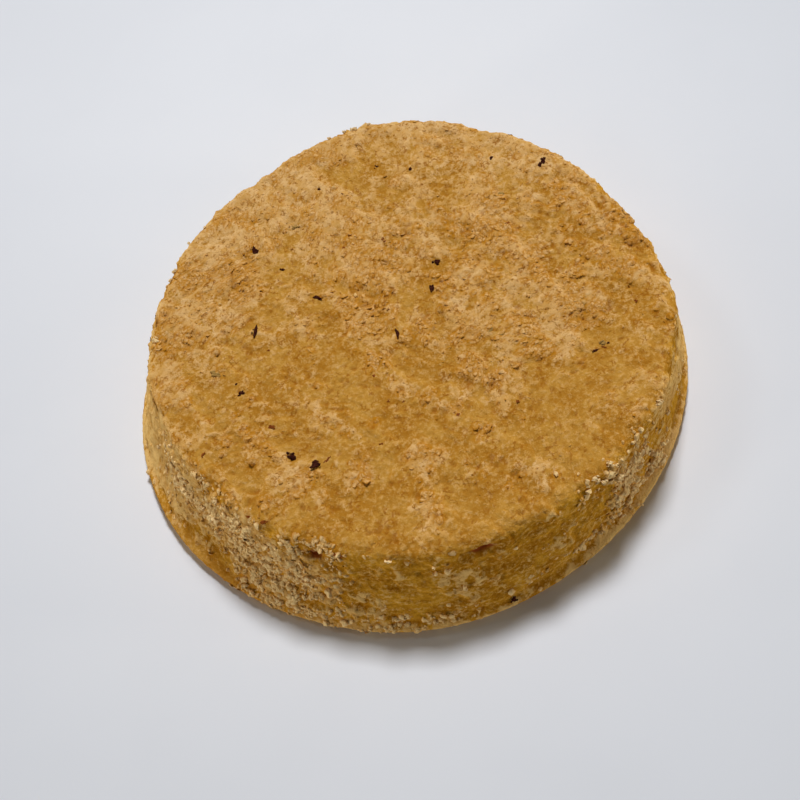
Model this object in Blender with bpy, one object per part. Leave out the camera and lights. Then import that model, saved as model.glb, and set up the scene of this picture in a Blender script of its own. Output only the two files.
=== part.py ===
"""A soft cookie: one thick, round, sandy biscuit, lying flat.

The cookie is a single closed solid.  A square grid drawn out to a disc makes its top,
whose rim runs down over a rounded shoulder, a leaning wall and a small round foot to a
flat underside.  Raised floury patches, a crease and two cavities are relief in that
skin.  Dark flecks and the larger crumbs are small chips fused to it.

The form is worked out in millimetres with +Z up, the underside at z = 0 and the middle
of the base outline near the origin.  The finished mesh is in metres, and the middle of
its box lies on the Z axis.
"""

import math
import random
from typing import NamedTuple

import bmesh
import bpy
from mathutils import Matrix, Vector, noise

METRES = 0.001

# The turned form.
THICKNESS = 10.3
TOP_RADIUS = 22.65
BASE_RADIUS = 25.2
TOP_SHIFT = Vector((1.24, 0.2, 0.0))

# How far the two rims are out of round: waves to a turn, size, and phase in degrees.
TOP_WAVES = ((2, 0.47, -55), (3, 0.17, -146), (4, 0.23, -52))
BASE_WAVES = ((2, 0.29, 37), (3, 0.26, -85), (4, 0.25, -14))

# The section of the side.
SHOULDER_RADIUS = 1.3
SHOULDER_EXTRA = 0.6
SHOULDER_SOFT_AT = math.radians(-125)
SHOULDER_SOFT_SPREAD = math.radians(45)
FOOT_RADIUS = 0.8
WALL_HOLLOW = 0.25

# How finely the skin is divided.
TOP_CELLS = 46
SHOULDER_ROWS = 3
WALL_ROWS = 5
FOOT_ROWS = 3

# Relief in the skin, faded out over the foot so that the underside stays flat.
SWELL_SIZE = 11.0
SWELL_HEIGHT = 0.2
PATCH_SIZE = 3.4
PATCH_STRETCH = 1.7
PATCH_DIRECTION = math.radians(-55)
PATCH_EDGE = (-0.12, 0.16)
PATCH_RISE = 0.2
GRAIN_SIZE = 1.3
GRAIN_HEIGHT = 0.1
RELIEF_FADE = (0.2, 1.6)
NOISE_OFFSET = Vector((31.7, -12.4, 8.9))

# The crease across the top: its points, its half width and its height.
CREASE = (Vector((9.5, 9.5)), Vector((12.2, 5.0)), Vector((14.0, 0.5)), Vector((14.8, -2.5)))
CREASE_HALF_WIDTH = 0.5
CREASE_HEIGHT = 0.25

CHIP_JITTER = 0.22
CRUMB_SEED = 14


class Cavity(NamedTuple):
    """A small hole in the side, at a direction in degrees and a height."""

    direction: float
    height: float
    half_length: float
    half_width: float
    depth: float


CAVITIES = (
    Cavity(-123, 8.6, 1.0, 0.6, 0.6),
    Cavity(-85, 9.0, 1.5, 0.5, 0.55),
)


class Fleck(NamedTuple):
    """A dark chip on the top, by the place of its middle and the way it points."""

    x: float
    y: float
    length: float
    width: float
    direction: float


FLECK_HEIGHT = 0.5
FLECKS = (
    Fleck(17.5, 13.0, 1.0, 0.7, 60),
    Fleck(13.2, 14.8, 0.7, 0.5, 10),
    Fleck(5.6, 16.4, 0.6, 0.5, 0),
    Fleck(2.6, 17.7, 0.6, 0.5, 0),
    Fleck(-3.2, 16.9, 0.7, 0.5, -40),
    Fleck(-10.4, 11.9, 1.0, 0.7, -60),
    Fleck(-5.9, 5.0, 1.3, 0.5, -35),
    Fleck(-12.1, 3.2, 1.6, 0.6, 75),
    Fleck(5.4, 5.3, 0.9, 0.7, 20),
    Fleck(4.2, 2.7, 0.9, 0.7, 50),
    Fleck(0.0, -1.2, 1.4, 0.5, 85),
    Fleck(-14.4, -2.4, 0.8, 0.6, 0),
    Fleck(-12.4, -6.5, 1.0, 0.4, -10),
    Fleck(-11.4, -9.8, 1.2, 0.8, -10),
    Fleck(-9.2, -11.2, 1.5, 0.9, 15),
    Fleck(16.5, -7.8, 1.3, 0.7, 25),
    Fleck(-3.7, -11.2, 0.6, 0.4, 0),
)


class CrumbPatch(NamedTuple):
    """Crumbs scattered over a stretch of the side, between two directions in degrees."""

    directions: tuple[float, float]
    heights: tuple[float, float]
    count: int
    largest: float


CRUMB_SMALLEST = 0.55
CRUMB_PATCHES = (
    CrumbPatch((-152, -128), (5.5, 9.8), 9, 0.95),
    CrumbPatch((-145, -118), (0.9, 2.4), 6, 0.9),
    CrumbPatch((-66, -36), (2.0, 9.0), 9, 1.0),
    CrumbPatch((-30, 60), (7.5, 10.0), 5, 0.8),
    CrumbPatch((70, 130), (8.5, 10.2), 6, 0.8),
    CrumbPatch((130, 185), (8.0, 10.2), 6, 0.9),
    CrumbPatch((60, 200), (1.5, 7.0), 5, 0.8),
)


class SidePoint(NamedTuple):
    """A point of the side's section: its reach from the axis, its height and its slope."""

    reach: float
    height: float
    slope: float


def smooth_step(low: float, high: float, value: float) -> float:
    """Rise smoothly from 0 at low to 1 at high."""
    share = min(max((value - low) / (high - low), 0.0), 1.0)
    return share * share * (3.0 - 2.0 * share)


def turn_between(first: float, second: float) -> float:
    """Return the smaller angle between two directions."""
    return abs(math.remainder(first - second, math.tau))


def out_of_round(waves: tuple, angle: float) -> float:
    """Add up a rim's waves at an angle."""
    return sum(size * math.cos(count * angle - math.radians(phase)) for count, size, phase in waves)


def side_section(angle: float) -> list[SidePoint]:
    """Work out the section of the side at one angle, from the top's rim to the floor.

    The section is an arc at the shoulder, a slightly hollow wall and an arc at the foot.
    """
    top = TOP_RADIUS + out_of_round(TOP_WAVES, angle)
    base = BASE_RADIUS + out_of_round(BASE_WAVES, angle)
    lean = math.atan2(base - top, THICKNESS - FOOT_RADIUS)
    softness = math.exp(-((turn_between(angle, SHOULDER_SOFT_AT) / SHOULDER_SOFT_SPREAD) ** 2))
    round_over = SHOULDER_RADIUS + SHOULDER_EXTRA * softness
    rim = top - round_over * math.tan((math.pi / 2 - lean) / 2)

    points = []
    for row in range(SHOULDER_ROWS + 1):
        slope = math.pi / 2 + (lean - math.pi / 2) * row / SHOULDER_ROWS
        reach = rim + round_over * math.cos(slope)
        height = THICKNESS + round_over * (math.sin(slope) - 1.0)
        points.append(SidePoint(reach, height, slope))
    foot = base - FOOT_RADIUS
    wall_start = points[-1]
    wall_end = SidePoint(
        foot + FOOT_RADIUS * math.cos(lean), FOOT_RADIUS * (1.0 + math.sin(lean)), lean
    )
    for row in range(1, WALL_ROWS):
        share = row / WALL_ROWS
        reach = wall_start.reach + (wall_end.reach - wall_start.reach) * share
        height = wall_start.height + (wall_end.height - wall_start.height) * share
        points.append(SidePoint(reach - WALL_HOLLOW * math.sin(math.pi * share), height, lean))
    for row in range(FOOT_ROWS + 1):
        slope = lean - (lean + math.pi / 2) * row / FOOT_ROWS
        reach = foot + FOOT_RADIUS * math.cos(slope)
        points.append(SidePoint(reach, FOOT_RADIUS * (1.0 + math.sin(slope)), slope))
    return points


def upright(reach: float, height: float, angle: float) -> Vector:
    """Place a section's point in space; the top sits a little off the base's middle."""
    out = Vector((math.cos(angle) * reach, math.sin(angle) * reach, height))
    return out + TOP_SHIFT * (height / THICKNESS)


def crease_distance(place: Vector) -> float:
    """Return how far a place on the top lies from the crease's line."""
    nearest = math.inf
    for start, end in zip(CREASE, CREASE[1:]):
        along = end - start
        share = min(max((place.xy - start).dot(along) / along.length_squared, 0.0), 1.0)
        nearest = min(nearest, (place.xy - start - along * share).length)
    return nearest


def cavity_depth(place: Vector) -> float:
    """Return how deep the side's cavities are at a place."""
    angle = math.atan2(place.y, place.x)
    depth = 0.0
    for cavity in CAVITIES:
        turn = math.remainder(angle - math.radians(cavity.direction), math.tau)
        along = turn * place.xy.length / cavity.half_length
        across = (place.z - cavity.height) / cavity.half_width
        depth += cavity.depth * math.exp(-(along**2) - across**2)
    return depth


def relief(place: Vector) -> float:
    """Work out how far the skin stands out from the plain form at a place."""
    swell = SWELL_HEIGHT * noise.noise(place / SWELL_SIZE + NOISE_OFFSET)
    streaked = Matrix.Rotation(-PATCH_DIRECTION, 3, "Z") @ place
    streaked.x /= PATCH_STRETCH
    floury = noise.fractal(streaked / PATCH_SIZE + NOISE_OFFSET, 0.9, 2.1, 3)
    patch = PATCH_RISE * smooth_step(*PATCH_EDGE, floury)
    grain = GRAIN_HEIGHT * noise.noise(place / GRAIN_SIZE - NOISE_OFFSET)
    crease = CREASE_HEIGHT * math.exp(-((crease_distance(place) / CREASE_HALF_WIDTH) ** 2))
    crease *= smooth_step(THICKNESS - 1.0, THICKNESS, place.z)
    height = swell + patch - PATCH_RISE / 2 + grain + crease - cavity_depth(place)
    return height * smooth_step(*RELIEF_FADE, place.z)


def side_place(angle: float, point: SidePoint) -> Vector:
    """Place a point of the side, with its relief."""
    plain = upright(point.reach, point.height, angle)
    out = Vector((math.cos(angle), math.sin(angle), 0.0)) * math.cos(point.slope)
    out.z = math.sin(point.slope)
    return plain + out * relief(plain)


def top_place(angle: float, share: float) -> Vector:
    """Place a point of the top, at a share of the way from the middle to the rim."""
    rim = side_section(angle)[0]
    plain = upright(rim.reach * share, rim.height, angle)
    return plain + Vector((0.0, 0.0, relief(plain)))


def side_at_height(angle: float, height: float) -> Vector:
    """Find the place on the side at an angle and a height."""
    section = side_section(angle)
    for above, below in zip(section, section[1:]):
        if below.height <= height:
            share = (above.height - height) / (above.height - below.height)
            mixed = [a + (b - a) * share for a, b in zip(above, below)]
            return side_place(angle, SidePoint(*mixed))
    raise ValueError("the height lies below the foot")


def square_to_disc(x: float, y: float) -> tuple[float, float]:
    """Turn a place in the unit square into an angle and a share of the disc's radius."""
    share = max(abs(x), abs(y))
    if share == 0.0:
        return 0.0, 0.0
    if abs(x) >= abs(y):
        angle = math.pi / 4 * y / x + (math.pi if x < 0 else 0.0)
    else:
        angle = math.pi / 2 - math.pi / 4 * x / y + (math.pi if y < 0 else 0.0)
    return angle, share


def next_ring(ring: dict, lower: list) -> dict:
    """Hand each new point the angle of the point that it was drawn down from.

    Args:
        ring: The angle of each point of the ring above.
        lower: The points of the new ring.

    Returns:
        The angle of each point of the new ring.
    """
    angles = {}
    for vertex in lower:
        neighbours = [edge.other_vert(vertex) for edge in vertex.link_edges]
        upper = next(neighbour for neighbour in neighbours if neighbour in ring)
        angles[vertex] = ring[upper]
    return angles


def skin_mesh() -> bpy.types.Mesh:
    """Build the cookie's closed skin, in millimetres.

    A grid is the top.  Its rim is drawn down once for each row of the side, and a fan
    of triangles closes the flat underside.

    Returns:
        The mesh, still without flecks and crumbs.
    """
    skin = bmesh.new()
    bmesh.ops.create_grid(skin, x_segments=TOP_CELLS, y_segments=TOP_CELLS, size=1.0)
    ring = {}
    for vertex in skin.verts:
        angle, share = square_to_disc(vertex.co.x, vertex.co.y)
        if vertex.is_boundary:
            ring[vertex] = angle
        vertex.co = top_place(angle, share)
    rim = [edge for edge in skin.edges if edge.is_boundary]
    for row in range(1, SHOULDER_ROWS + WALL_ROWS + FOOT_ROWS + 1):
        drawn = bmesh.ops.extrude_edge_only(skin, edges=rim)["geom"]
        ring = next_ring(ring, [part for part in drawn if isinstance(part, bmesh.types.BMVert)])
        for vertex, angle in ring.items():
            vertex.co = side_place(angle, side_section(angle)[row])
        rim = [part for part in drawn if isinstance(part, bmesh.types.BMEdge) and part.is_boundary]
    underside = bmesh.ops.contextual_create(skin, geom=rim)["faces"]
    bmesh.ops.poke(skin, faces=underside)
    bmesh.ops.triangulate(skin, faces=skin.faces, quad_method="SHORT_EDGE")
    bmesh.ops.recalc_face_normals(skin, faces=skin.faces)
    mesh = bpy.data.meshes.new("cookie")
    skin.to_mesh(mesh)
    skin.free()
    return mesh


def add_chip(
    chips: bpy.types.Collection, place: Vector, size: Vector, direction: float, draw: random.Random
) -> None:
    """Add one small uneven chip, half sunk in the skin.

    Args:
        chips: The collection that the chip joins.
        place: The chip's middle.
        size: Its length, width and height.
        direction: The way its length points, in radians.
        draw: The source of its unevenness.
    """
    chip = bmesh.new()
    bmesh.ops.create_icosphere(chip, subdivisions=1, radius=0.5)
    for vertex in chip.verts:
        vertex.co *= 1.0 + draw.uniform(-CHIP_JITTER, CHIP_JITTER)
    tumble = Matrix.Rotation(draw.uniform(0.0, math.tau), 4, "Z")
    placed = Matrix.Translation(place) @ Matrix.Rotation(direction, 4, "Z")
    bmesh.ops.transform(chip, matrix=placed @ Matrix.Diagonal((*size, 1.0)) @ tumble, verts=chip.verts)
    mesh = bpy.data.meshes.new("chip")
    chip.to_mesh(mesh)
    chip.free()
    chips.objects.link(bpy.data.objects.new("chip", mesh))


def add_flecks(chips: bpy.types.Collection, draw: random.Random) -> None:
    """Add the dark flecks that lie on the top."""
    for fleck in FLECKS:
        plain = Vector((fleck.x, fleck.y, THICKNESS))
        place = plain + Vector((0.0, 0.0, relief(plain)))
        size = Vector((fleck.length, fleck.width, FLECK_HEIGHT))
        add_chip(chips, place, size, math.radians(fleck.direction), draw)


def add_crumbs(chips: bpy.types.Collection, draw: random.Random) -> None:
    """Add the larger crumbs that cling to the side, each clear of the ones before it."""
    taken = []
    for patch in CRUMB_PATCHES:
        left = patch.count
        while left > 0:
            size = draw.uniform(CRUMB_SMALLEST, patch.largest)
            angle = math.radians(draw.uniform(*patch.directions))
            height = max(draw.uniform(*patch.heights), size)
            place = side_at_height(angle, height)
            if any((place - other).length < size + CRUMB_SMALLEST for other in taken):
                continue
            taken.append(place)
            crumb = Vector((size, size * draw.uniform(0.7, 1.0), size * draw.uniform(0.7, 1.0)))
            add_chip(chips, place, crumb, draw.uniform(0.0, math.tau), draw)
            left -= 1


def fuse(cookie: bpy.types.Object, chips: bpy.types.Collection) -> None:
    """Join the chips to the cookie as one closed skin, and remove their objects."""
    union = cookie.modifiers.new("chips", "BOOLEAN")
    union.operation = "UNION"
    union.solver = "EXACT"
    union.operand_type = "COLLECTION"
    union.collection = chips
    bpy.context.view_layer.update()
    evaluated = cookie.evaluated_get(bpy.context.evaluated_depsgraph_get())
    joined = bpy.data.meshes.new_from_object(evaluated)
    cookie.modifiers.clear()
    cookie.data = joined
    for chip in list(chips.objects):
        bpy.data.objects.remove(chip)
    bpy.data.collections.remove(chips)


def middle_of(mesh: bpy.types.Mesh) -> Vector:
    """Find the point of the underside's plane below the middle of a mesh's box."""
    across = [vertex.co.x for vertex in mesh.vertices]
    along = [vertex.co.y for vertex in mesh.vertices]
    return Vector(((min(across) + max(across)) / 2, (min(along) + max(along)) / 2, 0.0))


def baked_crust() -> bpy.types.Material:
    """Make the golden, dry, matte finish of the crust."""
    material = bpy.data.materials.new("baked_crust")
    material.use_nodes = True
    surface = material.node_tree.nodes["Principled BSDF"]
    surface.inputs["Base Color"].default_value = (0.456, 0.235, 0.053, 1.0)
    surface.inputs["Roughness"].default_value = 0.85
    surface.inputs["Metallic"].default_value = 0.0
    return material


def main() -> None:
    """Clear the scene and build the cookie."""
    for leftover in list(bpy.data.objects):
        bpy.data.objects.remove(leftover)
    cookie = bpy.data.objects.new("cookie", skin_mesh())
    bpy.context.scene.collection.objects.link(cookie)

    chips = bpy.data.collections.new("chips")
    bpy.context.scene.collection.children.link(chips)
    draw = random.Random(CRUMB_SEED)
    add_flecks(chips, draw)
    add_crumbs(chips, draw)
    fuse(cookie, chips)

    mesh = cookie.data
    mesh.transform(Matrix.Scale(METRES, 4) @ Matrix.Translation(-middle_of(mesh)))
    mesh.shade_smooth()
    mesh.materials.clear()
    mesh.materials.append(baked_crust())


if __name__ == "__main__":
    main()
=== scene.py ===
"""The looks of a soft cookie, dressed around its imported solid.

The crust is one closed skin of the solid's own form, finely divided, with the relief that
the solid has and the sandy grain that it leaves out.  Joined meshes of small angular
grains, crumbs and dark flecks lie in it.  The form is worked out in millimetres and
turned into metres when a mesh is made.
"""

import logging
import math
from dataclasses import dataclass, field
from enum import Enum
from typing import Callable, Iterable, TypeVar

import bmesh
import bpy
import numpy as np
from mathutils import Matrix, Vector, kdtree, noise


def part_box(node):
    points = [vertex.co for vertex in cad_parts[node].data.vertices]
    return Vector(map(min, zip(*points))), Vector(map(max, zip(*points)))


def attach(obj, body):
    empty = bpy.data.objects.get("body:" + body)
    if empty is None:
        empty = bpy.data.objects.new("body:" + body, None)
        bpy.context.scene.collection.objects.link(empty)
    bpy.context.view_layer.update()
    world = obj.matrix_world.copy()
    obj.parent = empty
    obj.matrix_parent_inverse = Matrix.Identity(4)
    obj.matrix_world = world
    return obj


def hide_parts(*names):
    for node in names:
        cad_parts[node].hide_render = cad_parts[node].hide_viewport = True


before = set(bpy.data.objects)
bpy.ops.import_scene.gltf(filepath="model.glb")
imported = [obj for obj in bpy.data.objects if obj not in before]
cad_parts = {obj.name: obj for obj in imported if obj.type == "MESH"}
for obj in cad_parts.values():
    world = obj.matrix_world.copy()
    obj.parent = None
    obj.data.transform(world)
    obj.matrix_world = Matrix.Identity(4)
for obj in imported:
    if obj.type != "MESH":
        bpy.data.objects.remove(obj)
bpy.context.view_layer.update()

NODE = "cookie"
BODY = "root"
METRES = 0.001
FULL_TURN = math.tau
LAYER_FADE = 0.9
LAYER_STEP = 2.1
# Where rows of flecks put the top and the side, in millimetres: the side's reach at the
# foot, and how far it comes in and moves sideways for each millimetre of height.
TOP_HEIGHT = 10.3
SIDE_REACH = 25.1
SIDE_LEAN = 0.24
SIDE_SHIFT = (0.12, 0.02)

Colour = tuple[float, float, float]
Place = tuple[float, float, float]
Span = tuple[float, float]
Row = tuple[float, ...]
Kind = TypeVar("Kind")

log = logging.getLogger("cookie")


# --- Small sums -----------------------------------------------------------------------


def smooth_step(low: float, high: float, values: np.ndarray) -> np.ndarray:
    """Rise smoothly from 0 at low to 1 at high."""
    share = np.clip((values - low) / (high - low), 0.0, 1.0)
    return share * share * (3.0 - 2.0 * share)


def turn_from(angles: np.ndarray, direction: float) -> np.ndarray:
    """Return the signed turn from a direction in degrees to each angle, in radians."""
    return (angles - math.radians(direction) + math.pi) % FULL_TURN - math.pi


def noise_at(places: np.ndarray, size: float, shift: np.ndarray) -> np.ndarray:
    """Read smooth noise at many places.

    Args:
        places: The places, one row each.
        size: How wide one swell is, in the places' unit.
        shift: Where in the noise to read.

    Returns:
        One value for each place, about -0.7 to 0.7.
    """
    rows = places / size + shift
    return np.fromiter((noise.noise(Vector(row)) for row in rows), float, len(rows))


def layered_noise_at(places: np.ndarray, size: float, shift: np.ndarray, layers: int) -> np.ndarray:
    """Read noise with finer layers added to it, each half the size of the one before.

    Args:
        places: The places, one row each.
        size: How wide the broadest swell is, in the places' unit.
        shift: Where in the noise to read.
        layers: How many layers are added up.

    Returns:
        One value for each place.
    """
    rows = places / size + shift
    values = (noise.fractal(Vector(row), LAYER_FADE, LAYER_STEP, layers) for row in rows)
    return np.fromiter(values, float, len(rows))


def pebbles_at(places: np.ndarray, size: float, shift: np.ndarray) -> np.ndarray:
    """Read a bed of rounded pebbles: 1 on top of each and towards 0 between them.

    Args:
        places: The places, one row each.
        size: How wide one pebble is, in the places' unit.
        shift: Where in the bed to read.

    Returns:
        One value for each place.
    """
    rows = places / size + shift
    nearest = np.fromiter((noise.voronoi(Vector(row))[0][0] for row in rows), float, len(rows))
    return 1.0 - np.clip(nearest, 0.0, 1.0)


def band_at(heights: np.ndarray, middle: float, spread: float) -> np.ndarray:
    """Return 1 at the middle height of a soft band, and towards 0 away from it."""
    return np.exp(-(((heights - middle) / spread) ** 2))


def unit(rows: np.ndarray) -> np.ndarray:
    """Return each row with a length of 1."""
    return rows / np.linalg.norm(rows, axis=1, keepdims=True)


def each(kind: Callable[..., Kind], *rows: Row) -> tuple[Kind, ...]:
    """Make one thing of a kind from each row of its values."""
    return tuple(kind(*row) for row in rows)


def summed(spots: Iterable["Cavity | Drift"], places: np.ndarray) -> np.ndarray:
    """Add up the shares of soft spots at many places."""
    return sum(spot.share(places) for spot in spots)


# --- The form -------------------------------------------------------------------------


@dataclass(frozen=True)
class Wave:
    """One way that a rim is out of round: swells to a turn, size, and phase in degrees."""

    count: int
    size: float
    phase: float


@dataclass(frozen=True)
class Rim:
    """One edge of the cookie, seen from above: a circle a little out of round."""

    radius: float
    waves: tuple[Wave, ...]

    def reach(self, angles: np.ndarray) -> np.ndarray:
        """Return the rim's distance from its middle at each angle."""
        swells = sum(w.size * np.cos(w.count * angles - math.radians(w.phase)) for w in self.waves)
        return self.radius + swells


@dataclass(frozen=True)
class CookieForm:
    """The cookie's plain form in millimetres, before any relief."""

    thickness: float = 10.3
    top: Rim = Rim(22.65, (Wave(2, 0.47, -55), Wave(3, 0.17, -146), Wave(4, 0.23, -52)))
    base: Rim = Rim(25.2, (Wave(2, 0.29, 37), Wave(3, 0.26, -85), Wave(4, 0.25, -14)))
    top_shift: Span = (1.24, 0.2)
    shoulder: float = 1.3
    shoulder_extra: float = 0.6
    soft_direction: float = -125.0
    soft_spread: float = math.radians(45)
    foot: float = 1.2
    wall_hollow: float = 0.25

    def side(self, angles: np.ndarray, run: np.ndarray) -> tuple[np.ndarray, np.ndarray]:
        """Place points of the side.

        Args:
            angles: Where round the cookie each point is, in radians.
            run: How far down it is: 0 to 1 over the shoulder, 1 to 2 down the wall and
                2 to 3 round the foot.

        Returns:
            The places and the outward directions, one row each.
        """
        top = self.top.reach(angles)
        base = self.base.reach(angles)
        lean = np.arctan2(base - top, self.thickness - self.foot)
        softness = np.exp(-((turn_from(angles, self.soft_direction) / self.soft_spread) ** 2))
        shoulder = self.shoulder + self.shoulder_extra * softness
        rim = top - shoulder * np.tan((math.pi / 2 - lean) / 2)

        over = np.clip(run, 0.0, 1.0)
        down = np.clip(run - 1.0, 0.0, 1.0)
        under = np.clip(run - 2.0, 0.0, 1.0)
        shoulder_slope = math.pi / 2 + (lean - math.pi / 2) * over
        foot_slope = lean - (lean + math.pi / 2) * under
        upper_reach = rim + shoulder * np.cos(shoulder_slope)
        upper_height = self.thickness + shoulder * (np.sin(shoulder_slope) - 1.0)
        lower_reach = base - self.foot + self.foot * np.cos(foot_slope)
        lower_height = self.foot * (1.0 + np.sin(foot_slope))
        reach = upper_reach + (lower_reach - upper_reach) * down
        reach = reach - self.wall_hollow * np.sin(math.pi * down)
        height = upper_height + (lower_height - upper_height) * down
        slope = np.where(run < 1.0, shoulder_slope, np.where(run < 2.0, lean, foot_slope))

        out = np.stack([np.cos(angles), np.sin(angles)], axis=-1)
        places = np.concatenate([out * reach[:, None], height[:, None]], axis=1)
        outward = np.concatenate([out * np.cos(slope)[:, None], np.sin(slope)[:, None]], axis=1)
        return self.leaned(places), outward

    def top_face(self, angles: np.ndarray, share: np.ndarray) -> tuple[np.ndarray, np.ndarray]:
        """Place points of the flat top.

        Args:
            angles: Where round the cookie each point is, in radians.
            share: How far it is from the middle towards the shoulder, 0 to 1.

        Returns:
            The places and the outward directions, one row each.
        """
        rim, _ = self.side(angles, np.zeros_like(angles))
        middle = np.array([*self.top_shift, self.thickness])
        places = middle + (rim - middle) * share[:, None]
        return places, np.tile([0.0, 0.0, 1.0], (len(places), 1))

    def leaned(self, places: np.ndarray) -> np.ndarray:
        """Shift points sideways with their height, as the top sits a little off the base."""
        share = places[:, 2:] / self.thickness
        return places + np.array([*self.top_shift, 0.0]) * share


@dataclass(frozen=True)
class Cavity:
    """A small hole in the side, at a direction in degrees and a height."""

    direction: float
    height: float
    half_length: float
    half_width: float
    depth: float

    def share(self, places: np.ndarray) -> np.ndarray:
        """Work out how much of the hole each place has.

        Args:
            places: The places.

        Returns:
            1 in the middle of the hole, and towards 0 away from it.
        """
        turn = turn_from(np.arctan2(places[:, 1], places[:, 0]), self.direction)
        along = turn * np.hypot(places[:, 0], places[:, 1]) / self.half_length
        across = (places[:, 2] - self.height) / self.half_width
        return np.exp(-(along**2) - across**2)


@dataclass(frozen=True)
class Heap:
    """A soft round spot of the top, lighter and higher where weight is above 0."""

    x: float
    y: float
    radius: float
    weight: float

    def share(self, places: np.ndarray) -> np.ndarray:
        """Return the spot's weight in its middle, and towards 0 away from it."""
        distance = np.hypot(places[:, 0] - self.x, places[:, 1] - self.y) / self.radius
        return self.weight * np.exp(-(distance**2))


@dataclass(frozen=True)
class Drift:
    """A soft patch of the side: its direction and spread in degrees, and its height."""

    direction: float
    spread: float
    height: float
    height_spread: float
    weight: float

    def share(self, places: np.ndarray) -> np.ndarray:
        """Work out how much of the patch each place has.

        Args:
            places: The places.

        Returns:
            The patch's weight in its middle, and towards 0 away from it.
        """
        turn = turn_from(np.arctan2(places[:, 1], places[:, 0]), self.direction)
        along = turn / math.radians(self.spread)
        across = (places[:, 2] - self.height) / self.height_spread
        return self.weight * np.exp(-(along**2) - across**2)


@dataclass(frozen=True)
class Crease:
    """A low crooked ridge across the top."""

    points: tuple[Span, ...] = ((9.5, 9.5), (12.2, 5.0), (14.0, 0.5), (14.8, -2.5))
    half_width: float = 0.5
    height: float = 0.25

    def share(self, places: np.ndarray) -> np.ndarray:
        """Work out how much of the ridge each place has.

        Args:
            places: The places.

        Returns:
            1 on the ridge's line, and towards 0 away from it.
        """
        nearest = np.full(len(places), np.inf)
        for start, end in zip(self.points, self.points[1:]):
            along = np.subtract(end, start)
            offset = places[:, :2] - start
            share = np.clip(offset @ along / (along @ along), 0.0, 1.0)
            distance = np.hypot(*(offset - share[:, None] * along).T)
            nearest = np.minimum(nearest, distance)
        return np.exp(-((nearest / self.half_width) ** 2))


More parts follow.
